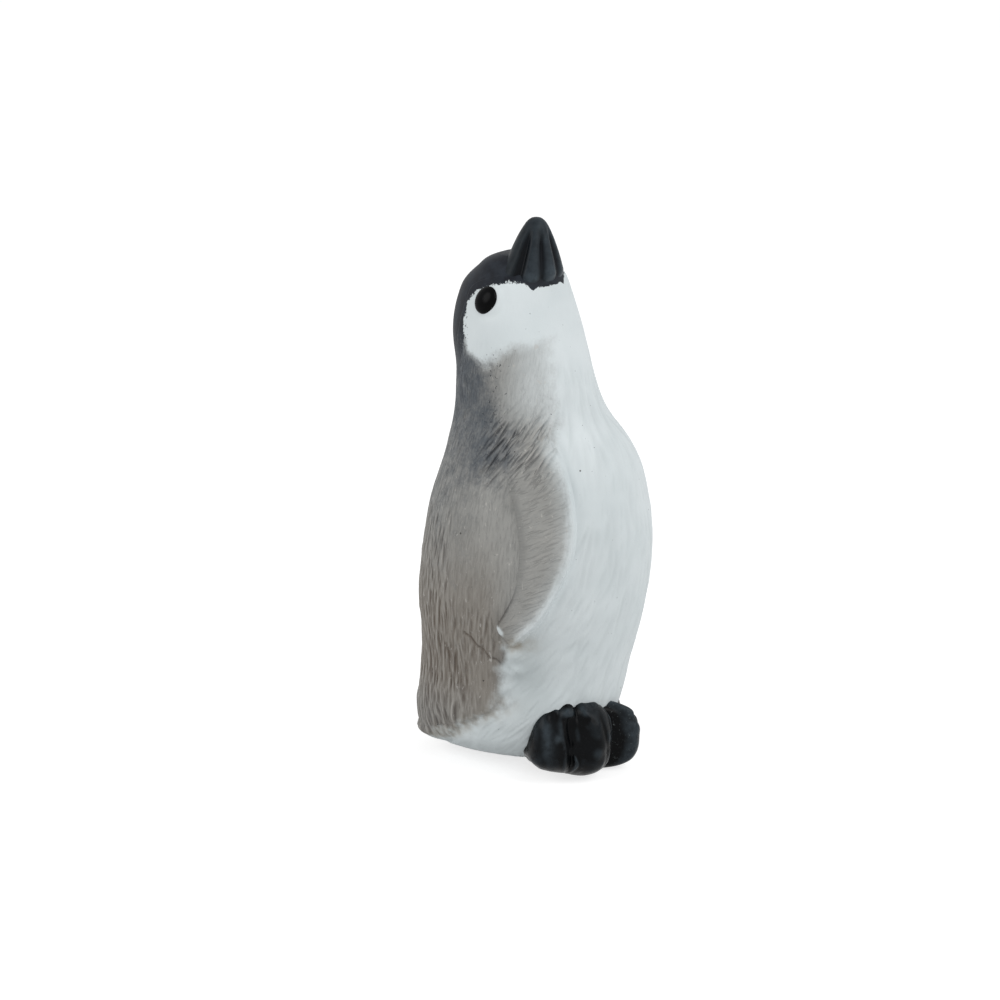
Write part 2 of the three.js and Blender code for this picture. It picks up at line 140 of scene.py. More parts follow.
# Paw round the ankle's axis: angle outward from ahead, reach, and the heights of its top and sole
FOOT = [
    (-180, 2.5, 4.0, 0.4), (-60, 2.8, 4.0, 0.4), (-30, 5.5, 4.8, 0.2), (-20, 7.5, 5.8, 0.0),
    (-9, 7.5, 6.5, 0.0), (1, 5.6, 6.6, 0.1), (20, 6.4, 7.3, 0.0), (36, 6.65, 7.4, 0.0), (57, 5.6, 7.5, 0.3),
    (72, 6.25, 7.7, 0.6), (88, 6.2, 7.1, 0.9), (104, 5.0, 4.8, 1.6), (125, 3.6, 4.0, 0.9),
    (180, 2.5, 4.0, 0.4),
]
FOOT_SIDE = 3.0
FOOT_FORWARD = 3.2
FOOT_CORE = 2.0  # radius at the top and the sole
FOOT_BULGE = 2.9  # height where the toes reach furthest
FOOT_INNER = 0.16  # least distance from the middle of the chick
LEFT_FOOT_BACKSET = 2.0
LEFT_FOOT_SHARE = 0.66  # of the right foot's height

# On the paw: angle, half width in degrees and size of the knobs along its top, its grooves and its ridges
FOOT_KNOBS = (
    (58.5, 7.0, 0.72), (50.5, 2.0, -0.2), (42, 5, 0.15), (15, 3, -0.2), (-4, 2.5, -0.2), (-12, 4, 0.2),
    (68, 2.5, -0.2),
)
FOOT_GROOVES = ((57, 1.7, 0.13), (0.5, 2.0, 0.3), (-15, 1.8, 0.3), (27, 2.5, 0.07), (82, 3.0, 0.06))
FOOT_RIDGES = ((9, 2.5, 0.26), (50, 3.0, 0.12), (64, 3.0, 0.14), (-6, 3.0, 0.1))
# Knuckles: angle, height, half width in degrees and rise
FOOT_KNUCKLES = (
    (58.5, 6.8, 6.0, 0.5), (44, 6.8, 4, 0.2), (13, 6.8, 4, 0.2), (4, 6.0, 3.5, 0.35), (-11, 5.7, 3.5, 0.35),
    (75, 6.5, 5, -0.25), (70, 4.6, 3, 0.12), (36, 3.0, 4, 0.12), (24, 4.2, 3, 0.1),
)
# Dents at random: how many, smallest and largest size, and depth
FOOT_DENTS = ((30, 0.5, 1.1, 0.12), (140, 0.1, 0.35, 0.045))


# Curves
def hermite(x, xs, ys):
    """A smooth curve through points."""
    x = np.clip(np.asarray(x, float), xs[0], xs[-1])
    slopes = np.gradient(ys, xs)
    i = np.clip(np.searchsorted(xs, x, side="right") - 1, 0, len(xs) - 2)
    step = xs[i + 1] - xs[i]
    t = (x - xs[i]) / step
    return (
        (2 * t**3 - 3 * t**2 + 1) * ys[i] + (t**3 - 2 * t**2 + t) * step * slopes[i]
        + (3 * t**2 - 2 * t**3) * ys[i + 1] + (t**3 - t**2) * step * slopes[i + 1]
    )


def along(table, x, column=1):
    """A column of a table as a smooth curve over its first one."""
    table = np.array(table, float)
    table = table[np.argsort(table[:, 0])]
    return hermite(x, table[:, 0], table[:, column])


def ease(low, high, x):
    """Rises smoothly from 0 at low to 1 at high."""
    t = np.clip((np.asarray(x, float) - low) / (high - low), 0, 1)
    return t * t * (3 - 2 * t)


def fade(low, high, x):
    return 1 - ease(low, high, x)


def bump(x):
    return np.exp(-np.asarray(x, float) ** 2)


def wrapped(angle):
    return (angle + pi) % TAU - pi


def ring(stations, height, turn):
    """Rings of a skin, sideways and backward."""
    front, back, side = (along(stations, height, column)[..., None] for column in (1, 2, 3))
    return side * np.sin(turn), -np.where(np.cos(turn) > 0, front, back) * np.cos(turn)


def head_height(z):
    return z - NECK[2] - HEAD_GAP


def coat_angle(z):
    """Angle of the coat's edge, in degrees."""
    return along(COAT_EDGE, z)


# The skin of the body from the ground to the crown, as a radius about the upright axis
Z_STEP = 0.05
HEIGHTS = np.arange(0, TOP + Z_STEP, Z_STEP)
ANGLES = np.linspace(-pi, pi, 1261)[:-1]
SOFT_ROWS = 40  # of the grid, over which the neck is smoothed
BODY_RADIUS = 9.0  # for spacing round the body
FLANK_RADIUS = 9.6


def body_radii():
    """The torso's skin and the turned head's, run into each other at the neck."""
    turn = np.linspace(-pi, pi, 721)[:-1]
    torso = ring(TORSO, np.minimum(HEIGHTS, NECK[2]), turn)
    side, depth = ring(HEAD, np.maximum(head_height(HEIGHTS), 0), turn)
    c, s = cos(HEAD_YAW), sin(HEAD_YAW)
    head = side * c + depth * s, depth * c - side * s + NECK[1]
    radii = np.empty((len(HEIGHTS), len(ANGLES)))
    for i, height in enumerate(HEIGHTS):
        x, y = (part[i] for part in (torso if height <= NECK[2] else head))
        radii[i] = np.interp(ANGLES, np.arctan2(x, -y), np.hypot(x, y), period=TAU)
    kernel = bump(np.arange(-SOFT_ROWS, SOFT_ROWS + 1) * Z_STEP)
    padded = np.pad(radii, ((SOFT_ROWS, SOFT_ROWS), (0, 0)), mode="edge")
    soft = sum(weight * padded[k:k + len(HEIGHTS)] for k, weight in enumerate(kernel / kernel.sum()))
    share = (ease(4, 9, HEIGHTS) * fade(41, 44, HEIGHTS))[:, None]
    return radii * (1 - share) + soft * share


def between_cells(grid, row, column, curve=lambda t: t):
    """Values between the cells of a grid that closes on itself sideways."""
    i, j = np.floor(row).astype(int), np.floor(column).astype(int)
    u, v = curve(row - i), curve(column - j)
    a, b = j % grid.shape[1], (j + 1) % grid.shape[1]
    below = grid[i, a] * (1 - v) + grid[i, b] * v
    above = grid[i + 1, a] * (1 - v) + grid[i + 1, b] * v
    return below * (1 - u) + above * u


def sample(grid, height, angle):
    """Values of a grid over HEIGHTS and ANGLES."""
    row = np.clip(np.asarray(height) / Z_STEP, 0, len(HEIGHTS) - 1.001)
    column = (np.asarray(angle) + pi) / TAU * len(ANGLES)
    return between_cells(grid, row, column)


RADII = body_radii()
Z_GRID = np.broadcast_to(HEIGHTS[:, None], RADII.shape)
A_GRID = np.broadcast_to(ANGLES[None, :], RADII.shape)
DEGREES = np.degrees(np.abs(A_GRID))


def ripple(size, seed):
    """Soft random swells about size across, between -1 and 1."""
    rng = np.random.default_rng(seed)
    rows, columns = int(HEIGHTS[-1] / size) + 2, int(TAU * BODY_RADIUS / size)
    lattice = rng.uniform(-1, 1, (rows + 1, columns))
    column = (A_GRID + pi) / TAU * columns
    return between_cells(lattice, Z_GRID / size, column, lambda t: ease(0, 1, t))


# Carved strokes
SHOULDER_HEIGHT = 30.6  # middle of the slanting ones


def stroke(layers, z, angle, tip, half, width, depth, bend, radius):
    """One stroke: a cut with a steep and a sloping side, and a burr beside it."""
    reach = half + 4 * width
    first, last = int((z - reach) / Z_STEP), int((z + reach) / Z_STEP) + 2
    rows = np.arange(max(0, first), min(len(HEIGHTS), last))
    span = int(reach / radius / TAU * len(ANGLES)) + 1
    middle = int((angle + pi) / TAU * len(ANGLES))
    columns = np.arange(middle - span, middle + span + 1)
    u = (columns * (TAU / len(ANGLES)) - pi - angle)[None, :] * radius
    v = (HEIGHTS[rows] - z)[:, None]
    length_on = u * sin(tip) + v * cos(tip)
    across = (u * cos(tip) - v * sin(tip) + bend * length_on**2) / width
    strength = depth * np.sin(pi * np.clip(0.5 - 0.5 * length_on / half, 0, 1) ** 0.8)
    cut = -strength * np.where(across < 0, bump(across), bump(across / 1.7))
    burr = 0.4 * strength * bump((across + 1.7) / 0.9)
    place = np.ix_(rows, columns % len(ANGLES))
    layers[0][place] = np.minimum(layers[0][place], cut)
    layers[1][place] = np.maximum(layers[1][place], burr)


def carve(layers, seed, spacing, length, width, where, lean, depth, flat=False, stray=6):
    """Strokes of a carving tool, about spacing apart, as cuts and as the burrs beside them.

    where, lean and depth are functions of height and of angle in degrees: the share of strokes that are made,
    how far a stroke's upper end tips towards the front, give or take stray, and how deep it is.
    """
    rng = np.random.default_rng(seed)
    tall, wide = (spacing, 0.75 * length) if flat else (0.75 * length, spacing)
    heights = np.arange(0.5, HEIGHTS[-1] - 0.5, tall)
    z, a = np.meshgrid(heights, np.arange(-pi, pi, wide / BODY_RADIUS))
    z = (z + tall * rng.uniform(-0.6, 0.6, z.shape)).ravel().clip(0.3, HEIGHTS[-1] - 0.3)
    a = wrapped((a + wide / BODY_RADIUS * rng.uniform(-0.55, 0.55, a.shape)).ravel())
    degrees = np.degrees(np.abs(a))
    kept = rng.uniform(0, 1, len(z)) < where(z, degrees)
    z, a, degrees = z[kept], a[kept], degrees[kept]
    n = len(z)
    tips = np.radians(lean(z, degrees) + rng.normal(0, stray, n)) * np.where(a < 0, 1, -1)
    halves = length * rng.uniform(0.3, 0.7, n)
    widths = width * rng.uniform(0.75, 1.35, n)
    depths = depth(z, degrees) * rng.uniform(0.5, 1.2, n)
    bends = rng.normal(0, 0.05, n)
    for values in zip(z, a, tips, halves, widths, depths, bends, sample(RADII, z, a)):
        stroke(layers, *values)


def steady(value):
    return lambda z, degrees: value


def carve_back(layers):
    """Upright strokes, deep behind and below, and short faint ones on the middle of the back."""
    def inside(z, a):
        return ease(-2, 5, a - coat_angle(z))

    def low(z, a):
        return np.maximum(fade(12, 20, z), 1.1 * ease(106, 126, a) * fade(21, 29, z))

    def behind(z, a):
        return 1 - 0.75 * fade(98, 118, a) * fade(10, 15, z)

    carve(
        layers, seed=1, spacing=0.42, length=2.0, width=0.085, stray=4,
        where=lambda z, a: inside(z, a) * (0.06 + 0.9 * low(z, a)) * (z < 31),
        lean=steady(3), depth=lambda z, a: 0.015 + 0.085 * low(z, a) * behind(z, a),
    )
    carve(
        layers, seed=2, spacing=0.42, length=0.9, width=0.07, stray=9,
        where=lambda z, a: 0.5 * inside(z, a) * (z > 8) * (z < 38), lean=steady(6), depth=steady(0.026),
    )
    carve(
        layers, seed=8, spacing=0.85, length=2.4, width=0.16, stray=4,
        where=lambda z, a: 0.85 * inside(z, a) * fade(11, 15, z),
        lean=steady(2), depth=lambda z, a: 0.11 * behind(z, a),
    )


def carve_shoulders(layers):
    """A cluster of deep slanting strokes on either shoulder, and fine ones on the side of the neck."""
    def shoulder(z, a):
        return bump((z - SHOULDER_HEIGHT) / 2.9) * ease(56, 66, a) * fade(98, 112, a)

    carve(
        layers, seed=3, spacing=0.55, length=2.4, width=0.075, stray=5,
        where=lambda z, a: 1.4 * shoulder(z, a),
        lean=lambda z, a: 40 - 0.2 * (a - 70), depth=lambda z, a: 0.15 * shoulder(z, a),
    )
    carve(
        layers, seed=4, spacing=0.5, length=1.3, width=0.07,
        where=lambda z, a: 0.8 * ease(31, 33, z) * fade(38, 40, z) * ease(48, 60, a),
        lean=lambda z, a: 14 - 0.1 * (a - 60), depth=steady(0.018),
    )


def carve_belly(layers):
    """Long soft furrows that sweep back towards the flank, and shorter strokes between them."""
    def front(z, a):
        return fade(-5, 1, a - coat_angle(z))

    def sweep(z, a):
        return 8 + 0.34 * a * fade(12, 26, z) + 0.08 * a

    carve(
        layers, seed=5, spacing=0.95, length=4.5, width=0.24,
        where=lambda z, a: 0.85 * front(z, a) * (z < 36) * (z > 2), lean=sweep, depth=steady(0.042),
    )
    carve(
        layers, seed=6, spacing=0.7, length=1.8, width=0.1,
        where=lambda z, a: 0.6 * front(z, a) * (z < 37) * (z > 2), lean=sweep, depth=steady(0.024),
    )
    carve(
        layers, seed=7, spacing=0.6, length=2.6, width=0.13,
        where=lambda z, a: 0.9 * front(z, a) * fade(14, 20, z) * ease(25, 60, a),
        lean=lambda z, a: sweep(z, a) + 6, depth=steady(0.05),
    )


def body_cuts():
    layers = np.zeros((2, *RADII.shape))
    carve_back(layers)
    carve_shoulders(layers)
    carve_belly(layers)
    return layers


def flipper_cuts():
    """Fine strokes across the blade, and deep slanting ones where it runs into the shoulder."""
    def lead(z):
        return along(FLIPPER, z, 1)

    def trail(z):
        return along(FLIPPER, z, 2)

    def blade(z, a):
        return (a > lead(z) - 1) * (a < trail(z) + 2) * (z > 12.5) * (z < 34)

    def share(z, a):
        return np.clip((a - lead(z)) / (trail(z) - lead(z)), 0, 1)

    layers = np.zeros((2, *RADII.shape))
    carve(
        layers, seed=21, spacing=0.36, length=1.3, width=0.055, flat=True, stray=11,
        where=lambda z, a: 0.75 * blade(z, a),
        lean=lambda z, a: 70 - 24 * ease(0.4, 1, share(z, a)) - 14 * ease(24, 31, z),
        depth=lambda z, a: 0.01 + 0.02 * ease(0.05, 0.35, share(z, a)),
    )
    carve(
        layers, seed=22, spacing=0.5, length=2.1, width=0.07, stray=5,
        where=lambda z, a: blade(z, a) * ease(26, 30, z),
        lean=steady(42), depth=lambda z, a: 0.12 * ease(26, 30.5, z),
    )
    return layers


# Soft moulded shapes
def furrow(line, width):
    """A line over both flanks, through points of angle in degrees and height."""
    best = np.full(RADII.shape, 1e9)
    for (a0, z0), (a1, z1) in zip(line[:-1], line[1:]):
        u0, u1 = radians(a0) * FLANK_RADIUS, radians(a1) * FLANK_RADIUS
        u, v = np.abs(A_GRID) * FLANK_RADIUS - u0, Z_GRID - z0
        t = np.clip((u * (u1 - u0) + v * (z1 - z0)) / ((u1 - u0) ** 2 + (z1 - z0) ** 2), 0, 1)
        best = np.minimum(best, np.hypot(u - t * (u1 - u0), v - t * (z1 - z0)))
    return bump(best / width)


CREASE = furrow(
    [(108, 14.0), (104, 13.7), (101, 13.0), (97, 12.7), (94, 12.0), (90, 11.9), (87, 11.4), (81, 10.7)], 0.12
)
UNDER_TAIL = furrow([(180, 1.1), (160, 1.3), (146, 1.8), (134, 2.5)], 0.2)
# Tufts of fluff on the flank: height, angle in degrees, half width, half height and rise
TUFTS = (
    (12.2, 81.0, 0.55, 0.6, 0.3), (10.8, 80.0, 0.6, 0.55, 0.36), (9.2, 84.0, 0.42, 0.6, 0.26),
    (7.7, 87.0, 0.4, 0.5, 0.2),
)
# Fold down the side of the neck: height, and angle in degrees
NECK_FOLD = [(0, 50), (31, 50), (33, 49), (35.5, 53), (38, 50), (50, 50)]


def coat_step():
    """The step at the coat's edge on the flank."""
    off = (np.radians(DEGREES) - np.radians(coat_angle(Z_GRID))) * RADII
    flank = fade(12.5, 15, Z_GRID) * ease(2.6, 4.6, Z_GRID)
    return 0.26 * flank * (ease(-0.4, 0.4, off + 0.3 * ripple(0.9, 13)) - 0.5) * bump(off / 2.2)


def tuft(z, degrees, across, tall, rise):
    radius = sample(RADII, z, -radians(degrees))
    sideways = (np.abs(A_GRID) - radians(degrees)) * radius
    return rise * bump(np.hypot(sideways / across, (Z_GRID - z) / tall))


def tail():
    """A short tail with a flat end, a ridge above it and a swell at its root."""
    ridges = 1.15 * bump((Z_GRID - 2.1) / 0.75) + 0.3 * bump((Z_GRID - 3.3) / 0.8)
    ridges = ridges + 0.4 * bump((Z_GRID - 4.5) / 1.5)
    return fade(12, 48, 180 - DEGREES) * ridges * ease(0.9, 1.7, Z_GRID)


def neck_fold():
    off = (DEGREES - along(NECK_FOLD, Z_GRID)) * pi / 180 * RADII
    tall = ease(30.5, 32.5, Z_GRID) * fade(36.5, 39.5, Z_GRID)
    return 0.16 * tall * bump(off / 0.5) - 0.12 * tall * bump((off + 1.0) / 0.6)


def head_hollows(side):
    """The rim of an eye's socket and the dip of the crown beside the beak."""
    def away(angle):
        return wrapped(A_GRID + HEAD_YAW - side * angle)

    from_eye = np.hypot(away(EYE_ANGLE) * 5.4, head_height(Z_GRID) - EYE_HEIGHT)
    socket = 0.1 * bump((from_eye - 1.35) / 0.35)
    dip = 0.65 * bump(away(radians(84)) / radians(32)) * ease(8.0, 9.4, head_height(Z_GRID))
    return socket + dip


def body_forms():
    forms = 0.06 * ripple(3.1, 11) + 0.03 * ripple(1.3, 12)
    forms *= ease(1.0, 4.0, Z_GRID) * fade(36, 39, Z_GRID)
    forms += coat_step()
    for values in TUFTS:
        forms += tuft(*values)
    forms -= 0.13 * CREASE * (1 + 0.6 * ripple(0.7, 14))
    forms += tail()
    forms -= 0.3 * UNDER_TAIL
    forms += neck_fold()
    for side in (-1, 1):
        forms -= head_hollows(side)
    return forms


CUTS, BURRS = body_cuts()
FLIPPER_CUTS, FLIPPER_BURRS = flipper_cuts()
WAVER = ripple(1.1, 15)  # of the coat's edge
RELIEF = body_forms() + CUTS + BURRS


# Meshes
def quads(rows, columns, wrap=False, mirrored=None):
    """Triangles between the rows of a grid. Squares that are mirrored are cut along their other diagonal."""
    i = np.arange(rows - 1)[:, None]
    j = np.arange(columns if wrap else columns - 1)[None, :]
    k = (j + 1) % columns
    a, b, c, d = i * columns + j, i * columns + k, (i + 1) * columns + k, (i + 1) * columns + j
    other = np.zeros((1, 1), bool) if mirrored is None else mirrored
    first = np.stack([a, b, np.where(other, d, c)], -1)
    second = np.stack([np.where(other, b, a), c, d], -1)
    return np.concatenate([first.reshape(-1, 3), second.reshape(-1, 3)])


def fan(loop, middle):
    """Triangles from a line of points to a middle one."""
    loop = np.asarray(loop)
    return np.stack([np.full(len(loop) - 1, middle), loop[:-1], loop[1:]], -1)


def side_wall(a, b):
    """Triangles between the two side edges of a sheet."""
    return np.concatenate([np.stack([a[:-1], a[1:], b[1:]], -1), np.stack([a[:-1], b[1:], b[:-1]], -1)])


def weld(points, faces):
    """Joins points in the same place and drops the faces that vanish."""
    keys = np.round(points, 4)
    _, first, back = np.unique(keys, axis=0, return_index=True, return_inverse=True)
    faces = back.reshape(-1)[faces]
    proper = (faces[:, 0] != faces[:, 1]) & (faces[:, 1] != faces[:, 2]) & (faces[:, 0] != faces[:, 2])
    return points[first], faces[proper]


def close(points, wrap=False, mirrored=None):
    """A sheet with a wall between its side edges, or a tube that wraps, with a fan over either end.

    The middles of the fans are the last two points.
    """
    flat = points.reshape(-1, 3)
    index = np.arange(len(flat)).reshape(points.shape[:2])
    loops = np.concatenate([index, index[:, :1]], 1)
    ends = np.array([flat[index[0]].mean(0), flat[index[-1]].mean(0)])
    wall = [] if wrap else [side_wall(index[:, 0], index[:, -1])]
    fans = fan(loops[0][::-1], len(flat)), fan(loops[-1], len(flat) + 1)
    faces = np.concatenate([quads(*index.shape, wrap, mirrored), *wall, *fans])
    return np.concatenate([flat, ends]), faces


def handed(faces, side):
    """Faces turned outward for a piece on that side."""
    return faces if side > 0 else faces[:, ::-1]


def tube_values(grid):
    """Values for the points of a closed tube."""
    return np.append(grid.reshape(-1), [0, 0])


SHARP_ANGLE = radians(75)


def make_piece(name, points, faces, material, slot, values=None):
    mesh = bpy.data.meshes.new(name)
    mesh.from_pydata((points * MM).tolist(), [], faces.tolist())
    mesh.validate()
    mesh.shade_smooth()
    mesh.set_sharp_from_angle(angle=SHARP_ANGLE)
    for key, data in (values or {}).items():
        attribute = mesh.attributes.new(key, "FLOAT", "POINT")
        attribute.data.foreach_set("value", np.ascontiguousarray(data, np.float32))
    mesh.materials.append(material)
    piece = bpy.data.objects.new(name, mesh)
    bpy.context.scene.collection.objects.link(piece)
    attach(piece, "root")
    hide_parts(name)


def skin_points(z, a, grow=0.0):
    r = sample(RADII, z, a) + grow
    return np.stack([r * np.sin(a), -r * np.cos(a), z], -1)


def carved_points(rows, angles):
    z = rows[:, None] + 0 * angles
    return skin_points(z, angles, sample(RELIEF, z, angles))


def lengths_along(z, reach):
    """Length of a profile up to each of its points."""
    return np.concatenate([[0], np.cumsum(np.hypot(np.diff(z), np.diff(reach)))])


def rows_between(low, high, step):
    """Heights at even steps along the skin."""
    z = np.linspace(low, high, 4001)
    lengths = lengths_along(z, sample(RADII.mean(1)[:, None] + 0 * RADII, z, 0 * z))
    return np.interp(np.linspace(0, lengths[-1], int(lengths[-1] / step) + 1), lengths, z)


def parting_angles(rows, forward, yaw, shift):
    """Angles on either side where the skin is that far forward, in a frame that is turned by yaw."""
    turn = np.linspace(0, pi, 1500)
    sides = []
    for sign in (-1, 1):
        a = sign * turn[None, :] - yaw
        p = skin_points(rows[:, None] + 0 * a, a)
        ahead = -(p[..., 0] * sin(yaw) + (p[..., 1] - shift) * cos(yaw))
        sides.append([sign * np.interp(-f, -h, turn) - yaw for f, h in zip(forward, ahead)])
    return np.array(sides[0]), np.array(sides[1])


def head_frame(points):
    """Forward, sideways and height above the neck joint in the turned head."""
    c, s = cos(HEAD_YAW), sin(HEAD_YAW)
    x, y = points[:, 0], points[:, 1] - NECK[1]
    return -(x * s + y * c), x * c - y * s, head_height(points[:, 2])


def from_head(forward, side, height):
    """Points from their places in the turned head."""
    c, s = cos(HEAD_YAW), sin(HEAD_YAW)
    x, y = side * c - forward * s, -side * s - forward * c + NECK[1]
    return np.stack([x, y, height + NECK[2] + HEAD_GAP], -1)


# Where the colours lie
# The cuts take a wash that is darker paint and painted shade together
DEEP_CUT = 0.095  # takes the full painted highlight
HIGH_BURR = 0.04  # is rubbed fully pale
PAINT_REACH = 4  # how far from an edge its distance is kept
# Lip of the black round the beak: turn from the beak's front in degrees, and height
LIP_TURNS = [0, 30, 44, 55, 66, 80, 95, 180]
LIP_HEIGHTS = [7.75, 7.75, 7.85, 7.55, 8.15, 8.6, 9.0, 9.0]
LIP_REACH = 4.4
# Front of the dark airbrush: height, and angle in degrees
SOOT_HEIGHTS = [26, 30, 31.5, 33, 34.7, 36, 40]
SOOT_ANGLES = [96, 62, 63, 74, 82, 90, 94]
# Pale underside of the tail: angle in degrees, and the height up to which it reaches
TAIL_ANGLES = [110, 122, 135, 144, 156]
TAIL_HEIGHTS = [2.0, 4.2, 3.9, 3.3, 1.5]


def line_distance(x, y, line):
    """Distance from an open line, positive on the left of its way."""
    best = np.full(x.shape, 1e9)
    sign = np.ones(x.shape)
    for (ax, ay), (bx, by) in zip(line[:-1], line[1:]):
        dx, dy = bx - ax, by - ay
        t = np.clip(((x - ax) * dx + (y - ay) * dy) / (dx * dx + dy * dy), 0, 1)
        d = np.hypot(x - ax - t * dx, y - ay - t * dy)
        nearer = d < best - 1e-9
        sign = np.where(nearer, np.where(dx * (y - ay) - dy * (x - ax) >= 0, 1.0, -1.0), sign)
        best = np.minimum(best, d)
    return best * sign


def polar(points):
    angle = np.arctan2(points[:, 0], -points[:, 1])
    return points[:, 2], angle, np.degrees(np.abs(angle))


def body_coat(points):
    """How far inside the coat a point of the body is, in widths of the coat's soft edge."""
    z, angle, degrees = polar(points)
    forward, _, height = head_frame(points)
    radius = np.maximum(np.hypot(points[:, 0], points[:, 1]), 1.0)
    soft = 0.5 + 0.9 * ease(27, 33, z) + 0.25 * fade(13, 15, z) + 0.7 * bump((z - 6.0) / 2.4)
    coat = (degrees - coat_angle(z)) * pi / 180 * radius / soft
    coat += 0.9 * sample(WAVER, z, angle) * fade(12.5, 14.5, z) * ease(6.5, 9, z)
    above_tail = (z - np.interp(degrees, TAIL_ANGLES, TAIL_HEIGHTS)) / 0.4
    coat = np.minimum(coat, np.maximum(above_tail, -0.35))
    return np.minimum(coat, -line_distance(forward, height, FACE_EDGE) / 0.75)


def airbrush(z, degrees):
    """Dark airbrush over the nape, the shoulders and the upper back, and painted shade on the back behind the
    flipper.
    """
    behind_front = degrees - np.interp(z, SOOT_HEIGHTS, SOOT_ANGLES)
    soot = 0.94 * np.clip((z - 21) / 18, 0, 1) * ease(0, 46, behind_front)
    soot += 0.3 * bump((z - 29.6) / 3.0) * ease(68, 88, degrees) * fade(100, 125, degrees)
    # Painted shade: darker over the back behind the flipper
    soot += 0.12 * ease(90, 116, degrees) * ease(16, 22, z)
    return np.clip(soot, 0, 1)


def roughness_of_coat(z, degrees):
    """How strong the fine dashes are: most behind and below, least on the low flank."""
    rough = 0.35 + 0.5 * np.maximum(ease(112, 142, degrees), fade(11, 19, z))
    return rough * (1 - 0.85 * fade(98, 116, degrees) * fade(9, 13, z))


def beak_surround(forward, side, height):
    """How far inside the black round the beak a point is."""
    ahead = forward - BEAK_FORWARD
    lip = np.interp(np.abs(np.degrees(np.arctan2(side, ahead))), LIP_TURNS, LIP_HEIGHTS)
    return np.where(np.hypot(side, ahead) < LIP_REACH, np.clip((height - lip) / 0.16, -3, 3), -3)


def spatter_of_cap(cap, z, degrees, height):
    """Where drops of the cap's paint lie: behind the cheek and on the side of the neck."""
    cheek = bump((cap + 0.3) / 0.5) * (height < 5.5) * (height > -1.0)
    neck = 0.85 * bump((degrees - 102) / 14) * ease(30, 33, z) * fade(38, 40, z)
    return np.maximum(cheek, neck)


def paint(points, cuts=CUTS, burrs=BURRS, coat=None):
    """Values that the materials read, for points of the body or, with a coat of their own, of a flipper."""
    z, angle, degrees = polar(points)
    forward, side, height = head_frame(points)
    cap = line_distance(forward, height, CAP_EDGE)
    wash = np.clip(-sample(cuts, z, angle) / DEEP_CUT, 0, 1)
    if coat is None:
        coat = body_coat(points)
        # Painted shade in the crease on the flank and under the tail
        wash = np.maximum(wash, np.maximum(sample(CREASE, z, angle), 0.8 * sample(UNDER_TAIL, z, angle)))
        # Painted shade on the flank below the flipper
        wash = np.maximum(wash, 1.4 * bump((degrees - 74) / 15) * bump((z - 10.5) / 4.5))
    # Painted shade under the flipper's tip, carried with the stain
    shade_below_flipper = bump((degrees - 82) / 10) * bump((z - 13.5) / 0.9)
    return {
        "coat": np.clip(coat, -PAINT_REACH, PAINT_REACH),
        "cap": np.clip(cap, -PAINT_REACH, PAINT_REACH),
        "soot": airbrush(z, degrees),
        "wash": wash,
        "tint": fade(14, 26, z) * ease(78, 98, degrees) * (0.4 + 0.6 * ease(4, 10, z)),
        "pale": ease(31.0, 35.0, z) * fade(66, 108, degrees),
        "slant": bump((z - SHOULDER_HEIGHT) / 3.4) * ease(52, 64, degrees) * fade(100, 118, degrees),
        "gape": beak_surround(forward, side, height),
        "rough": roughness_of_coat(z, degrees),
        "burr": np.clip(sample(burrs, z, angle) / HIGH_BURR, 0, 1),
        "spatter": spatter_of_cap(cap, z, degrees, height),
        "nape": (height + 2.0) / 5.5,
        # A tan stain low along the coat's edge, with the painted shade under the flipper's tip
        "stain": shade_below_flipper + 0.9 * bump((coat - 0.2) / 1.2) * fade(6, 9, z),
    }


# Pieces
def torso_pieces(material_front, material_back):
    rows = rows_between(0, NECK[2], TORSO_STEP)
    right, left = parting_angles(rows, along(TORSO_PARTING, rows), 0.0, 0.0)
    # Upright columns that stop at the parting line
    front = np.clip(np.linspace(-pi, pi, BELLY_COLUMNS), right[:, None], left[:, None])
    back = np.clip(np.linspace(0, TAU, BACK_COLUMNS), left[:, None], right[:, None] + TAU)
    for name, angles, material, slot in (
        ("belly_shell", front, material_front, "white"), ("back_shell", back, material_back, "taupe"),
    ):
        # One more row, drawn in a little, reaches into the head
        z = np.append(rows, rows[-1] + NECK_LAP)[:, None] + 0 * angles[:1]
        angles = np.concatenate([angles, angles[-1:]])
        relief = sample(RELIEF, z, angles)
        mirrored = better_diagonals(z, angles, relief)
        relief[-1] -= NECK_INSET
        points, faces = weld(*close(skin_points(z, angles, relief), mirrored=mirrored))
        make_piece(name, points, faces, material, slot, paint(points))


def better_diagonals(z, angles, relief):
    """Squares whose second diagonal is nearer to the relief at their middle than the first."""
    middle_z = (z[1:, 1:] + z[:-1, :-1]) / 2
    middle_angle = (angles[1:, 1:] + angles[:-1, :-1] + angles[1:, :-1] + angles[:-1, 1:]) / 4
    middle = sample(RELIEF, middle_z, middle_angle)
    first = np.abs(middle - (relief[1:, 1:] + relief[:-1, :-1]) / 2)
    second = np.abs(middle - (relief[1:, :-1] + relief[:-1, 1:]) / 2)
    return second < first


def head_pieces(material_face, material_cap):
    split = NECK[2] + HEAD_GAP + CROWN_START
    low = rows_between(NECK[2], split, HEAD_STEP)
    right, left = parting_angles(low, along(HEAD_PARTING, head_height(low)), HEAD_YAW, NECK[1])
    t = np.linspace(0, 1, FACE_COLUMNS)
    front = right[:, None] * (1 - t) + left[:, None] * t
    s = np.linspace(0, 1, CAP_COLUMNS)
    back = left[:, None] * (1 - s) + (right[:, None] + TAU) * s
    points, faces = weld(*close(carved_points(low, front)))
    make_piece("face_shell", points, faces, material_face, "white", paint(points))
    points, faces = cap_mesh(low, rows_between(split, TOP, HEAD_STEP), front, back)
    make_piece("cap_shell", points, faces, material_cap, "charcoal", paint(points))


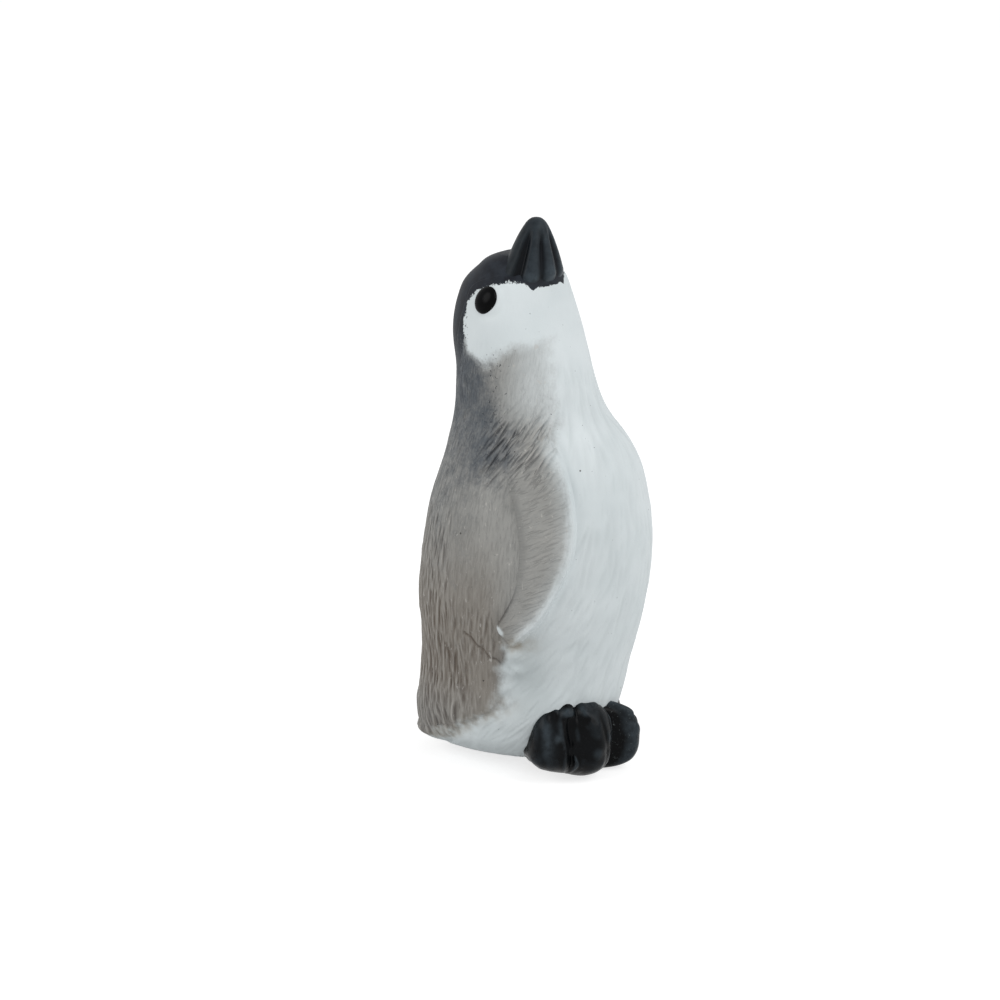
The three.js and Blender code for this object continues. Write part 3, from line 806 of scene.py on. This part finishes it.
def cap_mesh(low, high, front, back):
    """The back of the head and the whole crown, closed where the face lies."""
    behind = carved_points(low, back)
    crown_angles = np.concatenate([front[-1], back[-1][1:]])
    crown = carved_points(high, np.broadcast_to(crown_angles, (len(high), len(crown_angles))))
    flat = np.concatenate([behind.reshape(-1, 3), crown.reshape(-1, 3)])
    base = behind.shape[0] * behind.shape[1]
    index = np.arange(base).reshape(behind.shape[:2])
    rim = np.arange(base, len(flat)).reshape(crown.shape[:2])
    front_rim = rim[0][:front.shape[1]]
    a, b = index[:, 0], index[:, -1]
    neck, brow, top = len(flat), len(flat) + 1, len(flat) + 2
    ends = np.array([flat[index[0]].mean(0), flat[front_rim].mean(0), flat[rim[-1]].mean(0)])
    faces = [
        quads(*behind.shape[:2]), base + quads(*crown.shape[:2]), side_wall(a, b),
        fan(index[0][::-1], neck), np.array([[neck, a[0], b[0]]]),
        fan(front_rim[::-1], brow), np.array([[brow, front_rim[0], front_rim[-1]]]), fan(rim[-1], top),
    ]
    return weld(np.concatenate([flat, ends]), np.concatenate(faces))


def both_faces(grid):
    """Values for the outer and the inner face of a flipper."""
    return np.concatenate([grid.reshape(-1), grid.reshape(-1)])


def flipper_height(z, share, from_lead, from_trail):
    """How far the blade stands off the skin: thin at tip and shoulder, with a rim along its front."""
    tall = ease(-0.6, 2.6, z - FLIPPER_TIP) * fade(27.0, 32.6, z)
    rim = bump((from_lead - 0.75) / 0.45) * fade(26, 31, z)
    blade = ease(0, 0.75, from_lead) * ease(-0.1, 0.7 - 0.4 * fade(15, 18, z), from_trail)
    body = 0.6 + 0.2 * np.sin(pi * share) - 0.12 * ease(0.6, 1.6, from_lead)
    return -FLIPPER_SINK + (FLIPPER_SINK + blade * (body + 0.3 * rim)) * (0.04 + 0.96 * tall)


def flipper_values(points, z, from_lead, from_trail):
    """Paint of a flipper: white front edge, white notch at the tip, painted shade along the trailing edge,
    and its white a little greyer.
    """
    high = ease(25, 31, z)
    notch = bump(np.hypot(from_trail - 0.2, (z - 14.75) * 0.9) / 0.42)
    coat = (from_lead - 1.1 + 0.35 * high) / (0.5 + 0.5 * high)
    coat = both_faces(np.minimum(coat, 1.6) - 3.6 * notch)
    top = ease(28, 30.8, points[:, 2])
    shoulder = np.clip(body_coat(points), -PAINT_REACH, PAINT_REACH)
    values = paint(points, FLIPPER_CUTS, FLIPPER_BURRS, coat * (1 - top) + shoulder * top)
    # Painted shade along the trailing edge
    line = bump((from_trail - 0.1) / 0.22) * (0.25 + 0.75 * fade(16.5, 20, z)) * fade(26, 29, z) * (1 - notch)
    line = np.maximum(line, 0.35 * bump(from_trail / 0.7) * fade(25, 29, z) * (1 - notch))
    # The white of the rim is a little greyer
    wash = np.maximum(0.8 * values["wash"], 0.3 * (coat < 0))
    values["wash"] = np.maximum(wash, both_faces(line))
    values["rough"] = np.full(len(points), 0.45)
    values["pale"] = np.maximum(values["pale"], both_faces(0.5 * fade(0.9, 2.8, from_lead)))
    return values


def flipper_piece(name, side, material):
    rows = np.linspace(FLIPPER_TIP, FLIPPER_TOP, FLIPPER_ROWS)
    share = np.linspace(0, 1, FLIPPER_COLUMNS)
    lead, trail = (np.radians(along(FLIPPER, rows, column)) for column in (1, 2))
    angle = lead[:, None] * (1 - share) + trail[:, None] * share
    z = rows[:, None] + 0 * angle
    width = (trail - lead)[:, None] * sample(RADII, z, side * angle)
    from_lead, from_trail = width * share, width * (1 - share)
    height = flipper_height(z, share, from_lead, from_trail)
    strokes = sample(FLIPPER_CUTS + FLIPPER_BURRS, z, side * angle)
    strokes *= ease(0.6, 1.2, from_lead) * ease(0, 0.5, from_trail)
    strokes *= ease(0.02, 0.3, height)
    outer = skin_points(z, side * angle, height + strokes)
    inner = skin_points(z, side * angle, -FLIPPER_ROOT)
    points = np.concatenate([outer.reshape(-1, 3), inner.reshape(-1, 3)])
    n = angle.size
    index = np.arange(n).reshape(angle.shape)
    loop = np.concatenate([index[0], index[1:, -1], index[-1, -2::-1], index[-2::-1, 0]])
    here, there = loop[:-1], loop[1:]
    face = quads(*angle.shape)
    wall = [np.stack([here, there + n, there], -1), np.stack([here, here + n, there + n], -1)]
    faces = handed(np.concatenate([face, face[:, ::-1] + n, *wall]), side)
    values = flipper_values(points, z, from_lead, from_trail)
    make_piece(name, points, faces, material, "taupe", values)


def beak_piece(material):
    """A blunt beak with two deep grooves at its sides, two shallow ones in front and cheeks at its root."""
    base, tip = BEAK[0][0], BEAK[-1][0]
    z = np.linspace(base, tip, 4001)
    lengths = lengths_along(z, along(BEAK, z, 3))
    z = np.interp(np.linspace(0, lengths[-1], BEAK_ROWS), lengths, z)
    turn = np.linspace(-pi, pi, BEAK_COLUMNS + 1)[:-1]
    x, y = ring(BEAK, z, turn)
    groove = np.zeros((len(z), len(turn)))
    rise = np.clip((z - 8.6) / 4.4, 0, 1)[:, None]
    for place, wide, deep in BEAK_GROOVES:
        away = wrapped(turn[None, :] - radians(place) * (1 - 0.12 * rise))
        groove += deep * bump(away / radians(wide))
    groove *= (ease(0.5, 2.6, tip - z) * np.clip((z - 7.4) / 1.2, 0.3, 1))[:, None]
    round_angle = np.abs(np.degrees(turn))
    cheek = 0.42 * bump((round_angle - 112) / 30)[None, :] * bump((z - 8.7) / 1.5)[:, None]
    scale = 1 + (cheek - BEAK_GROOVE_DEPTH * groove) / np.hypot(x, y)
    x, y = x * scale, y * scale
    # Painted highlight on the beak's ridges, lighter towards one side, and at its root
    crest = np.clip(0.5 - 0.8 * groove, 0, 1) * (0.75 + 0.25 * np.cos(turn - radians(40)))[None, :]
    root = bump((z - 8.6) / 0.9)[:, None] * ease(110, 60, round_angle)[None, :]
    crest += 0.4 * np.clip(1 - groove, 0, 1) * root
    points, faces = close(from_head(-y + BEAK_FORWARD, x, z[:, None] + 0 * x), wrap=True)
    make_piece("beak", points, faces, material, "beak_black", {"crest": tube_values(crest)})


def eye_piece(name, side, material):
    """A flat oval bead that leans back, let into the skin of the head."""
    wide = float(along(HEAD, EYE_HEIGHT, 3))
    back = float(along(HEAD, EYE_HEIGHT, 2))
    middle = np.array([back * cos(EYE_ANGLE), side * wide * sin(EYE_ANGLE), EYE_HEIGHT])
    above, below = (float(along(HEAD, EYE_HEIGHT + step, 3)) for step in (0.1, -0.1))
    normal = np.array([0.02, side, -(above - below) / 0.2])
    normal /= np.linalg.norm(normal)
    upright = np.array([0.0, 0.0, 1.0]) - normal * normal[2]
    upright /= np.linalg.norm(upright)
    ahead = np.cross(normal, upright) * side
    major = upright * cos(EYE_TILT) + ahead * sin(EYE_TILT)
    minor = ahead * cos(EYE_TILT) - upright * sin(EYE_TILT)
    lat = np.linspace(-pi / 2, pi / 2, EYE_ROWS)[:, None, None]
    lon = np.linspace(0, TAU, EYE_COLUMNS + 1)[:-1, None]
    u, v, w = np.cos(lat) * np.cos(lon), np.cos(lat) * np.sin(lon), np.sin(lat) + 0 * lon
    local = middle + EYE_LONG * u * major + EYE_SHORT * v * minor + (EYE_BULGE * w - EYE_SINK) * normal
    points = from_head(local[..., 0], local[..., 1], local[..., 2]).reshape(-1, 3)
    points, faces = weld(points, quads(EYE_ROWS, EYE_COLUMNS, True))
    make_piece(name, points, handed(faces, side), material, "eye_black")


def foot_form(angle, level):
    """Height and reach of a paw with grooves between its toes, a ridge beside the middle one and knuckles."""
    reach, top, sole = (along(FOOT, angle, column)[None, :] for column in (1, 2, 3))
    top = top + sum(rise * bump((angle - place) / wide) for place, wide, rise in FOOT_KNOBS)[None, :]
    power = np.where(level > 0, 3.2, 2.2 + 0.9 * fade(0, 10, angle)[None, :])
    swell = (1 - np.abs(level) ** power) ** (1 / power)
    height = FOOT_BULGE + np.where(level > 0, (top - FOOT_BULGE) * level, (FOOT_BULGE - sole) * level)
    out = FOOT_CORE + (reach - FOOT_CORE) * swell
    across = angle[None, :]
    tall = ease(0.2, 1.4, height) * fade(5.6, 7.0, height)
    lean = 2.2 * (height - 3.5) + 3.0 * np.sin(1.5 * height)

    def line(place, width, depth):
        return depth * bump((across - place - lean * 0.35) / width)

    out = out - tall * sum(line(*groove) for groove in FOOT_GROOVES)
    out = out + tall * sum(line(*ridge) for ridge in FOOT_RIDGES)
    seam = (across - 54 - 1.5 * np.sin(height * 2.4)) / 1.8
    out = out + 0.3 * bump(np.hypot(seam, (height - 2.2) / 1.5))
    for place, z, wide, rise in FOOT_KNUCKLES:
        out = out + rise * bump(np.hypot((across - place) / wide, (height - z) / 0.5))
    return height, out


def foot_dents(out, height, angle, seed):
    rng = np.random.default_rng(seed)
    for count, small, large, deep in FOOT_DENTS:
        for _ in range(count):
            place, z, size = rng.uniform(-30, 105), rng.uniform(0.4, 6.4), rng.uniform(small, large)
            away = np.hypot((angle[None, :] - place) * 0.105, height - z)
            out = out + rng.uniform(-deep, deep) * bump(away / size)
    return out


def foot_crest(out, height, angle):
    """Where a paw is painted greyer: worn paint with a painted highlight on what stands out from its smoothed
    form, and a painted highlight on the outer toe.
    """
    weights = bump(np.linspace(-2, 2, 29))
    soft = out
    for axis, edges in ((1, ((0, 0), (14, 14))), (0, ((14, 14), (0, 0)))):
        padded = np.pad(soft, edges, mode="edge")
        soft = np.apply_along_axis(np.convolve, axis, padded, weights / weights.sum(), "valid")
    outer = ease(58, 66, angle)[None, :]
    # Worn paint and painted highlight on what stands out; a painted highlight on the outer toe's face
    raised = np.clip((out - soft) / 0.12 - 0.25, 0, 1) * (0.55 + 0.15 * outer)
    return raised + 0.5 * outer * bump((angle - 78) / 5)[None, :] * bump((height - 4) / 1.6)


def foot_piece(name, side, material):
    backset, share = (0.0, 1.0) if side < 0 else (LEFT_FOOT_BACKSET, LEFT_FOOT_SHARE)
    angle = np.concatenate([np.linspace(a, b, n + 1)[:-1] for a, b, n in FOOT_SPANS])
    level = np.sin(np.linspace(-1, 1, FOOT_ROWS) * pi / 2)[:, None]
    height, out = foot_form(angle, level)
    out = foot_dents(out, height, angle, 31 + side)
    sideways = FOOT_SIDE + out * np.sin(np.radians(angle))
    ahead = FOOT_FORWARD - backset + out * np.cos(np.radians(angle))
    across = side * np.maximum(sideways, FOOT_INNER)
    rings = np.stack([across, -ahead, np.maximum(height * share, 0)], -1)
    points, faces = close(rings, wrap=True)
    values = {
        "crest": tube_values(foot_crest(out, height, angle)),
        "dust": tube_values(fade(2, 12, angle)[None, :] + 0 * height),
    }
    make_piece(name, points, handed(faces, side), material, "foot_black", values)


# Materials
def srgb(r, g, b):
    return tuple(((c / 255 + 0.055) / 1.055) ** 2.4 for c in (r, g, b))


LOW_TAUPE = srgb(124, 115, 104)
# Painted highlight on the burrs and on the ridges between the dashes
BURR_HIGHLIGHT_TAUPE = srgb(180, 177, 172)
TAUPE_GRAIN = srgb(178, 178, 175)
# Colours in the cuts; those of the back and the low flank are also the painted shade in the crease and under
# the tail
LOW_CUT_AND_SHADE = srgb(78, 67, 56)
BACK_CUT_AND_SHADE = srgb(80, 81, 82)
SHOULDER_CUT = srgb(60, 63, 66)
SOOT = srgb(90, 95, 100)
SOOT_CUT = srgb(38, 41, 46)
# Grey of the white in the cuts, which is also the painted shade in the crease and on the flank below the
# flipper
WHITE_CUT_AND_SHADE = srgb(158, 167, 168)
# Tan stain low along the coat's edge, and painted shade under the flipper's tip
WHITE_STAIN_AND_SHADE = srgb(168, 163, 152)
TAUPE_STAIN_AND_SHADE = srgb(112, 103, 88)
SPECK = srgb(60, 58, 56)
FLECK = srgb(186, 184, 179)
DROP = srgb(46, 49, 54)
# Worn paint and painted highlight on black
WORN_AND_SHEEN_BLACK = srgb(76, 86, 93)
DUST = srgb(92, 97, 98)
TAUPES = srgb(143, 143, 140), srgb(155, 155, 152)
WHITES = srgb(209, 217, 219), srgb(216, 223, 225)
BLACKS = srgb(23, 26, 32), srgb(38, 43, 50)
# Scales of noise, per metre
FINE = 4200
COARSE = 900
BROAD = 170
PAINT_ROUGHNESS = 0.55
PAINT_SHINE = 0.12
SLANT_LEAN = 43  # of the shoulder's dashes, in degrees
# Dashes: scale across and along them, per metre, and the noise where one starts and where it is full
FINE_DASHES = 5200.0, 620.0, 0.53, 0.63
SLANT_DASHES = 4300.0, 520.0, 0.58, 0.63


class Nodes:
    """A cleared node tree, with a short method for each kind of node that is used."""

    def __init__(self, tree):
        self.tree = tree
        tree.nodes.clear()

    def feed(self, socket, value):
        """Gives a socket a number, a colour, a vector or another node's output."""
        if isinstance(value, tuple):
            socket.default_value = (*value, 1) if len(socket.default_value) == 4 else value
        elif isinstance(value, (int, float)):
            socket.default_value = value
        else:
            self.tree.links.new(value, socket)

    def add(self, kind, *values, **settings):
        """A node, with values for its first sockets, its settings and, after in_, values by name."""
        made = self.tree.nodes.new("ShaderNode" + kind)
        for socket, value in zip(made.inputs, values):
            self.feed(socket, value)
        for key, value in settings.items():
            if key.startswith("in_"):
                self.feed(made.inputs[key[3:].replace("_", " ")], value)
            else:
                setattr(made, key, value)
        return made

    def math(self, operation, *values):
        return self.add("Math", *values, operation=operation).outputs[0]

    def chain(self, operation, first, *others):
        for other in others:
            first = self.math(operation, first, other)
        return first

    def times(self, *values):
        return self.chain("MULTIPLY", *values)

    def plus(self, *values):
        return self.chain("ADD", *values)

    def most(self, *values):
        return self.chain("MAXIMUM", *values)

    def minus(self, a, b):
        return self.math("SUBTRACT", a, b)

    def centred(self, value, size):
        return self.times(self.minus(value, 0.5), size)

    def mix(self, share, a, b):
        made = self.add("Mix", share, data_type="RGBA")
        self.feed(made.inputs[6], a)
        self.feed(made.inputs[7], b)
        return made.outputs[2]

    def ramp(self, value, low, high):
        return self.add("MapRange", value, low, high, interpolation_type="SMOOTHSTEP").outputs[0]

    def noise(self, place, scale, detail=3.0, rough=0.55, bend=0.0):
        sizes = {"in_Scale": scale, "in_Detail": detail, "in_Roughness": rough, "in_Distortion": bend}
        return self.add("TexNoise", place, **sizes).outputs[0]

    def read(self, key):
        return self.add("Attribute", attribute_name=key).outputs["Fac"]

    def place(self):
        return self.add("TexCoord").outputs["Object"]

    def bump(self, height, strength, distance):
        return self.add("Bump", in_Strength=strength, in_Distance=distance, in_Height=height).outputs[0]


def new_material(name):
    material = bpy.data.materials.new(name)
    material.use_nodes = True
    return material, Nodes(material.node_tree)


def finish_paint(nodes, colour, roughness, shine, normal):
    shader = nodes.add("BsdfPrincipled", colour, in_Roughness=roughness, in_Normal=normal)
    nodes.feed(shader.inputs["Specular IOR Level"], shine)
    nodes.add("OutputMaterial", shader.outputs[0])


def dashes(nodes, place, lean, across_scale, on_scale, low, high):
    """Thin strokes whose upper ends tip towards the front by lean degrees, and the ridges between them."""
    x, y, z = nodes.add("SeparateXYZ", place).outputs[:3]
    c, s = cos(radians(lean)), sin(radians(lean))
    turn = nodes.math("ABSOLUTE", nodes.math("ARCTAN2", x, nodes.times(y, -1.0)))
    u = nodes.times(turn, FLANK_RADIUS * MM)
    across = nodes.plus(nodes.times(u, c), nodes.times(z, s))
    on = nodes.minus(nodes.times(z, c), nodes.times(u, s))
    sizes = nodes.times(across, across_scale), nodes.times(on, on_scale), nodes.math("SIGN", x)
    grain = nodes.noise(nodes.add("CombineXYZ", *sizes).outputs[0], 1.0, 2.0, 0.5, 0.35)
    return nodes.ramp(grain, low, high), nodes.ramp(grain, 0.46, 0.36)


def dark_specks(nodes, place, colour, coat):
    """Rare small dark specks, a little more on the coat."""
    cells = nodes.add("TexVoronoi", place, in_Scale=650.0)
    chance = nodes.add("SeparateColor", cells.outputs["Color"]).outputs[0]
    rare = nodes.math("GREATER_THAN", nodes.math("MULTIPLY_ADD", coat, 0.16, chance), 0.97)
    speck = nodes.times(nodes.math("LESS_THAN", cells.outputs["Distance"], 0.06), rare)
    return nodes.mix(nodes.times(speck, 0.8), colour, SPECK)


def pale_flecks(nodes, place, colour, bare):
    """Upright pale flecks where the coat is bare of darker paint."""
    upright = nodes.add("Mapping", place, in_Scale=(1.0, 1.0, 0.45)).outputs[0]
    fleck = nodes.ramp(nodes.noise(upright, 2300, 2.0, 0.6, 0.6), 0.66, 0.73)
    return nodes.mix(nodes.times(fleck, bare, 0.6), colour, FLECK)


def drops(nodes, place, colour):
    """Spattered drops of the cap's paint."""
    spot = nodes.math("MULTIPLY_ADD", nodes.read("spatter"), 0.14, nodes.noise(place, 3400, 2.0, 0.6, 0.5))
    return nodes.mix(nodes.times(nodes.ramp(spot, 0.74, 0.78), 0.8), colour, DROP)


def painted(name, lean):
    """Painted plastic: white, a taupe coat, dark airbrush, a charcoal cap, a wash of darker paint and painted
    shade in the strokes, painted shade in the crease, under the tail and on the flank, and painted highlights
    on the burrs.
    """
    material, nodes = new_material(name)
    mix, ramp, times, read, centred = nodes.mix, nodes.ramp, nodes.times, nodes.read, nodes.centred
    place = nodes.place()
    fine = nodes.noise(place, FINE, 4.0, 0.65)
    coarse = nodes.noise(place, COARSE, 4.0)
    broad = ramp(nodes.noise(place, BROAD, 3.0), 0.3, 0.7)

    # Strokes
    grain, slant = read("rough"), read("slant")
    dash, ridge = (times(part, grain) for part in dashes(nodes, place, lean, *FINE_DASHES))
    sharp = times(dashes(nodes, place, SLANT_LEAN, *SLANT_DASHES)[0], slant)
    wash = read("wash")
    # The wash is darker paint and painted shade in the cuts, and painted shade in the crease, under the tail
    # and on the flank
    cut = nodes.most(wash, times(sharp, 0.7), times(dash, 0.6))
    # Painted highlight on the burrs and on the ridges between the dashes
    burr = nodes.most(read("burr"), times(ridge, 0.45))

    # Where each paint lies
    coat = ramp(nodes.plus(read("coat"), centred(coarse, 1.4), centred(fine, 0.9)), -1.0, 1.0)
    ragged = nodes.plus(read("cap"), centred(fine, 0.9), centred(coarse, 0.5))
    nape = ramp(nodes.plus(read("nape"), centred(fine, 0.7)), 0.0, 1.0)
    cap = times(ramp(ragged, -0.07, 0.07), nape)
    soot = ramp(nodes.plus(read("soot"), centred(coarse, 0.9), centred(fine, 0.8)), 0.0, 1.0)
    gape = ramp(nodes.plus(read("gape"), centred(fine, 2.4), centred(coarse, 1.6)), -0.15, 0.15)
    # Tan stain, and painted shade under the flipper's tip
    stain = times(read("stain"), ramp(coarse, 0.25, 0.75))

    # Colours, from the first coat to the last
    tint = read("tint")
    taupe = mix(times(tint, 0.6), mix(broad, *TAUPES), LOW_TAUPE)
    taupe = mix(times(burr, 0.7), taupe, BURR_HIGHLIGHT_TAUPE)
    taupe = mix(times(cut, 0.8), taupe, mix(slant, mix(tint, BACK_CUT_AND_SHADE, LOW_CUT_AND_SHADE), SHOULDER_CUT))
    taupe = mix(times(ramp(fine, 0.58, 0.72), 0.35), taupe, TAUPE_GRAIN)
    white = mix(times(wash, 0.4), mix(broad, *WHITES), WHITE_CUT_AND_SHADE)
    white = mix(stain, white, WHITE_STAIN_AND_SHADE)
    colour = mix(times(coat, nodes.minus(1.0, times(read("pale"), 0.58))), white, taupe)
    colour = mix(times(stain, 0.4), colour, TAUPE_STAIN_AND_SHADE)
    colour = mix(times(soot, coat), colour, mix(cut, SOOT, SOOT_CUT))
    black = mix(ramp(coarse, 0.35, 0.7), *BLACKS)
    colour = mix(cap, colour, black)
    colour = mix(gape, colour, black)
    colour = dark_specks(nodes, place, colour, coat)
    colour = pale_flecks(nodes, place, colour, times(coat, nodes.minus(1.0, nodes.most(soot, cap))))
    colour = drops(nodes, place, colour)

    roughness = nodes.plus(centred(coarse, 0.16), PAINT_ROUGHNESS)
    lines = times(nodes.plus(nodes.minus(dash, times(ridge, 0.5)), sharp), coat, nodes.minus(1.0, cap))
    normal = nodes.bump(nodes.minus(times(fine, 0.25), lines), 0.8, 0.06 * MM)
    finish_paint(nodes, colour, roughness, PAINT_SHINE, normal)
    return material


def black_paint(name, dark, pale, roughness, spread, grain, shine):
    """Glossy black paint, thinner and greyer on the ridges with a painted highlight there, with specks of
    dust on a paw's inner toe.
    """
    material, nodes = new_material(name)
    place = nodes.place()
    fine = nodes.noise(place, 1500, 3.0)
    colour = nodes.mix(nodes.ramp(nodes.noise(place, 420, 3.0), 0.3, 0.7), dark, pale)
    crest = nodes.times(nodes.read("crest"), nodes.math("MULTIPLY_ADD", fine, 1.2, 0.1))
    # Worn paint and painted highlight on the ridges
    colour = nodes.mix(crest, colour, WORN_AND_SHEEN_BLACK)
    dust = nodes.read("dust")
    speck = nodes.math("MULTIPLY_ADD", dust, 0.12, nodes.noise(place, 5200, 2.0, 0.6, 0.5))
    colour = nodes.mix(nodes.times(nodes.ramp(speck, 0.76, 0.84), dust), colour, DUST)
    rough = nodes.math("MULTIPLY_ADD", nodes.ramp(fine, 0.25, 0.75), spread, roughness)
    finish_paint(nodes, colour, rough, shine, nodes.bump(fine, 0.4, grain))
    return material


white_paint = painted("white_paint", 18)
taupe_paint = painted("taupe_paint", 3)
flipper_paint = painted("flipper_paint", 66)
cap_paint = painted("charcoal_paint", 10)
beak_paint = black_paint(
    "beak_paint", srgb(6, 8, 10), srgb(15, 19, 24), roughness=0.34, spread=0.14, grain=0.03 * MM, shine=0.08,
)
eye_paint = black_paint(
    "eye_paint", srgb(2, 2, 3), srgb(5, 6, 8), roughness=0.2, spread=0.06, grain=0.005 * MM, shine=0.05,
)
foot_paint = black_paint(
    "foot_paint", srgb(3, 4, 5), srgb(9, 11, 13), roughness=0.22, spread=0.16, grain=0.06 * MM, shine=0.07,
)

torso_pieces(white_paint, taupe_paint)
head_pieces(white_paint, cap_paint)
beak_piece(beak_paint)
for prefix, hand in (("right", -1), ("left", 1)):
    eye_piece(prefix + "_eye", hand, eye_paint)
    flipper_piece(prefix + "_flipper", hand, flipper_paint)
    foot_piece(prefix + "_foot", hand, foot_paint)


# Stage
VIEW_AZIMUTH = -72
VIEW_ELEVATION = 15
VIEW_DISTANCE = 330
VIEW_MIDDLE = 25.0  # height that the camera aims at, before it is moved aside
VIEW_LEFT = 2.79
VIEW_DOWN = 0.99
PIXELS_PER_MM = 11.1
IMAGE_PIXELS = 1000
SENSOR = 36
FLOOR_SIZE = 6  # in metres
FLOOR_GREYS = 0.7, 0.5  # to the light and to the eye
FLOOR_GLOW = 0.73
WORLD_LIGHT = 0.5


def by_ray(nodes, lit, seen):
    """One shader for the light, and one for what is seen, also in a reflection or through glass."""
    path = nodes.add("LightPath")
    kinds = "Is Camera Ray", "Is Glossy Ray", "Is Transmission Ray"
    ray = nodes.most(*(path.outputs[kind] for kind in kinds))
    return nodes.add("MixShader", ray, lit, seen).outputs[0]


def direction(azimuth, elevation):
    az, el = radians(azimuth), radians(elevation)
    return np.array([sin(az) * cos(el), -cos(az) * cos(el), sin(el)])


def stage():
    """A plain white floor: whiter to the eye than to the light, and it keeps the shadow."""
    bpy.ops.mesh.primitive_plane_add(size=FLOOR_SIZE, location=(0, 0, 0))
    floor = bpy.context.object
    floor.name = "floor"
    material, nodes = new_material("floor_paint")
    plain, shaded = (nodes.add("BsdfDiffuse", (grey, grey, grey)).outputs[0] for grey in FLOOR_GREYS)
    glow = nodes.add("Emission", (1, 1, 1), FLOOR_GLOW).outputs[0]
    seen = nodes.add("AddShader", shaded, glow).outputs[0]
    nodes.add("OutputMaterial", by_ray(nodes, plain, seen))
    floor.data.materials.append(material)


def camera():
    az = radians(VIEW_AZIMUTH)
    back = direction(VIEW_AZIMUTH, VIEW_ELEVATION)
    right = np.array([cos(az), sin(az), 0.0])
    up = np.cross(back, right)
    aim = np.array([0, 0, VIEW_MIDDLE]) - VIEW_LEFT * right - VIEW_DOWN * up
    data = bpy.data.cameras.new("camera")
    data.lens = PIXELS_PER_MM * VIEW_DISTANCE * SENSOR / IMAGE_PIXELS
    data.sensor_width = SENSOR
    data.clip_start = 0.01
    made = bpy.data.objects.new("camera", data)
    bpy.context.scene.collection.objects.link(made)
    made.location = (aim + VIEW_DISTANCE * back) * MM
    made.rotation_euler = Matrix(np.stack([right, up, back], 1).tolist()).to_euler()
    bpy.context.scene.camera = made


def softbox(name, azimuth, elevation, distance, size, power):
    """A round light that faces the middle of the figure, at a distance in metres."""
    way = direction(azimuth, elevation)
    data = bpy.data.lights.new(name, "AREA")
    data.shape = "DISK"
    data.size = size
    data.energy = power
    made = bpy.data.objects.new(name, data)
    bpy.context.scene.collection.objects.link(made)
    made.location = way * distance + np.array([0, 0, VIEW_MIDDLE * MM])
    made.rotation_euler = Vector(way).to_track_quat("Z", "Y").to_euler()


def world():
    """White to the eye, and a soft light from all round."""
    made = bpy.data.worlds.new("studio")
    bpy.context.scene.world = made
    made.use_nodes = True
    nodes = Nodes(made.node_tree)
    lit, seen = (nodes.add("Background", (1, 1, 1), power).outputs[0] for power in (WORLD_LIGHT, 1.0))
    nodes.add("OutputWorld", by_ray(nodes, lit, seen))


stage()
camera()
world()
softbox("key", azimuth=-8, elevation=38, distance=0.5, size=0.4, power=1.22)
softbox("fill", azimuth=-132, elevation=32, distance=0.6, size=0.4, power=1.35)
bpy.context.scene.view_settings.view_transform = "Standard"
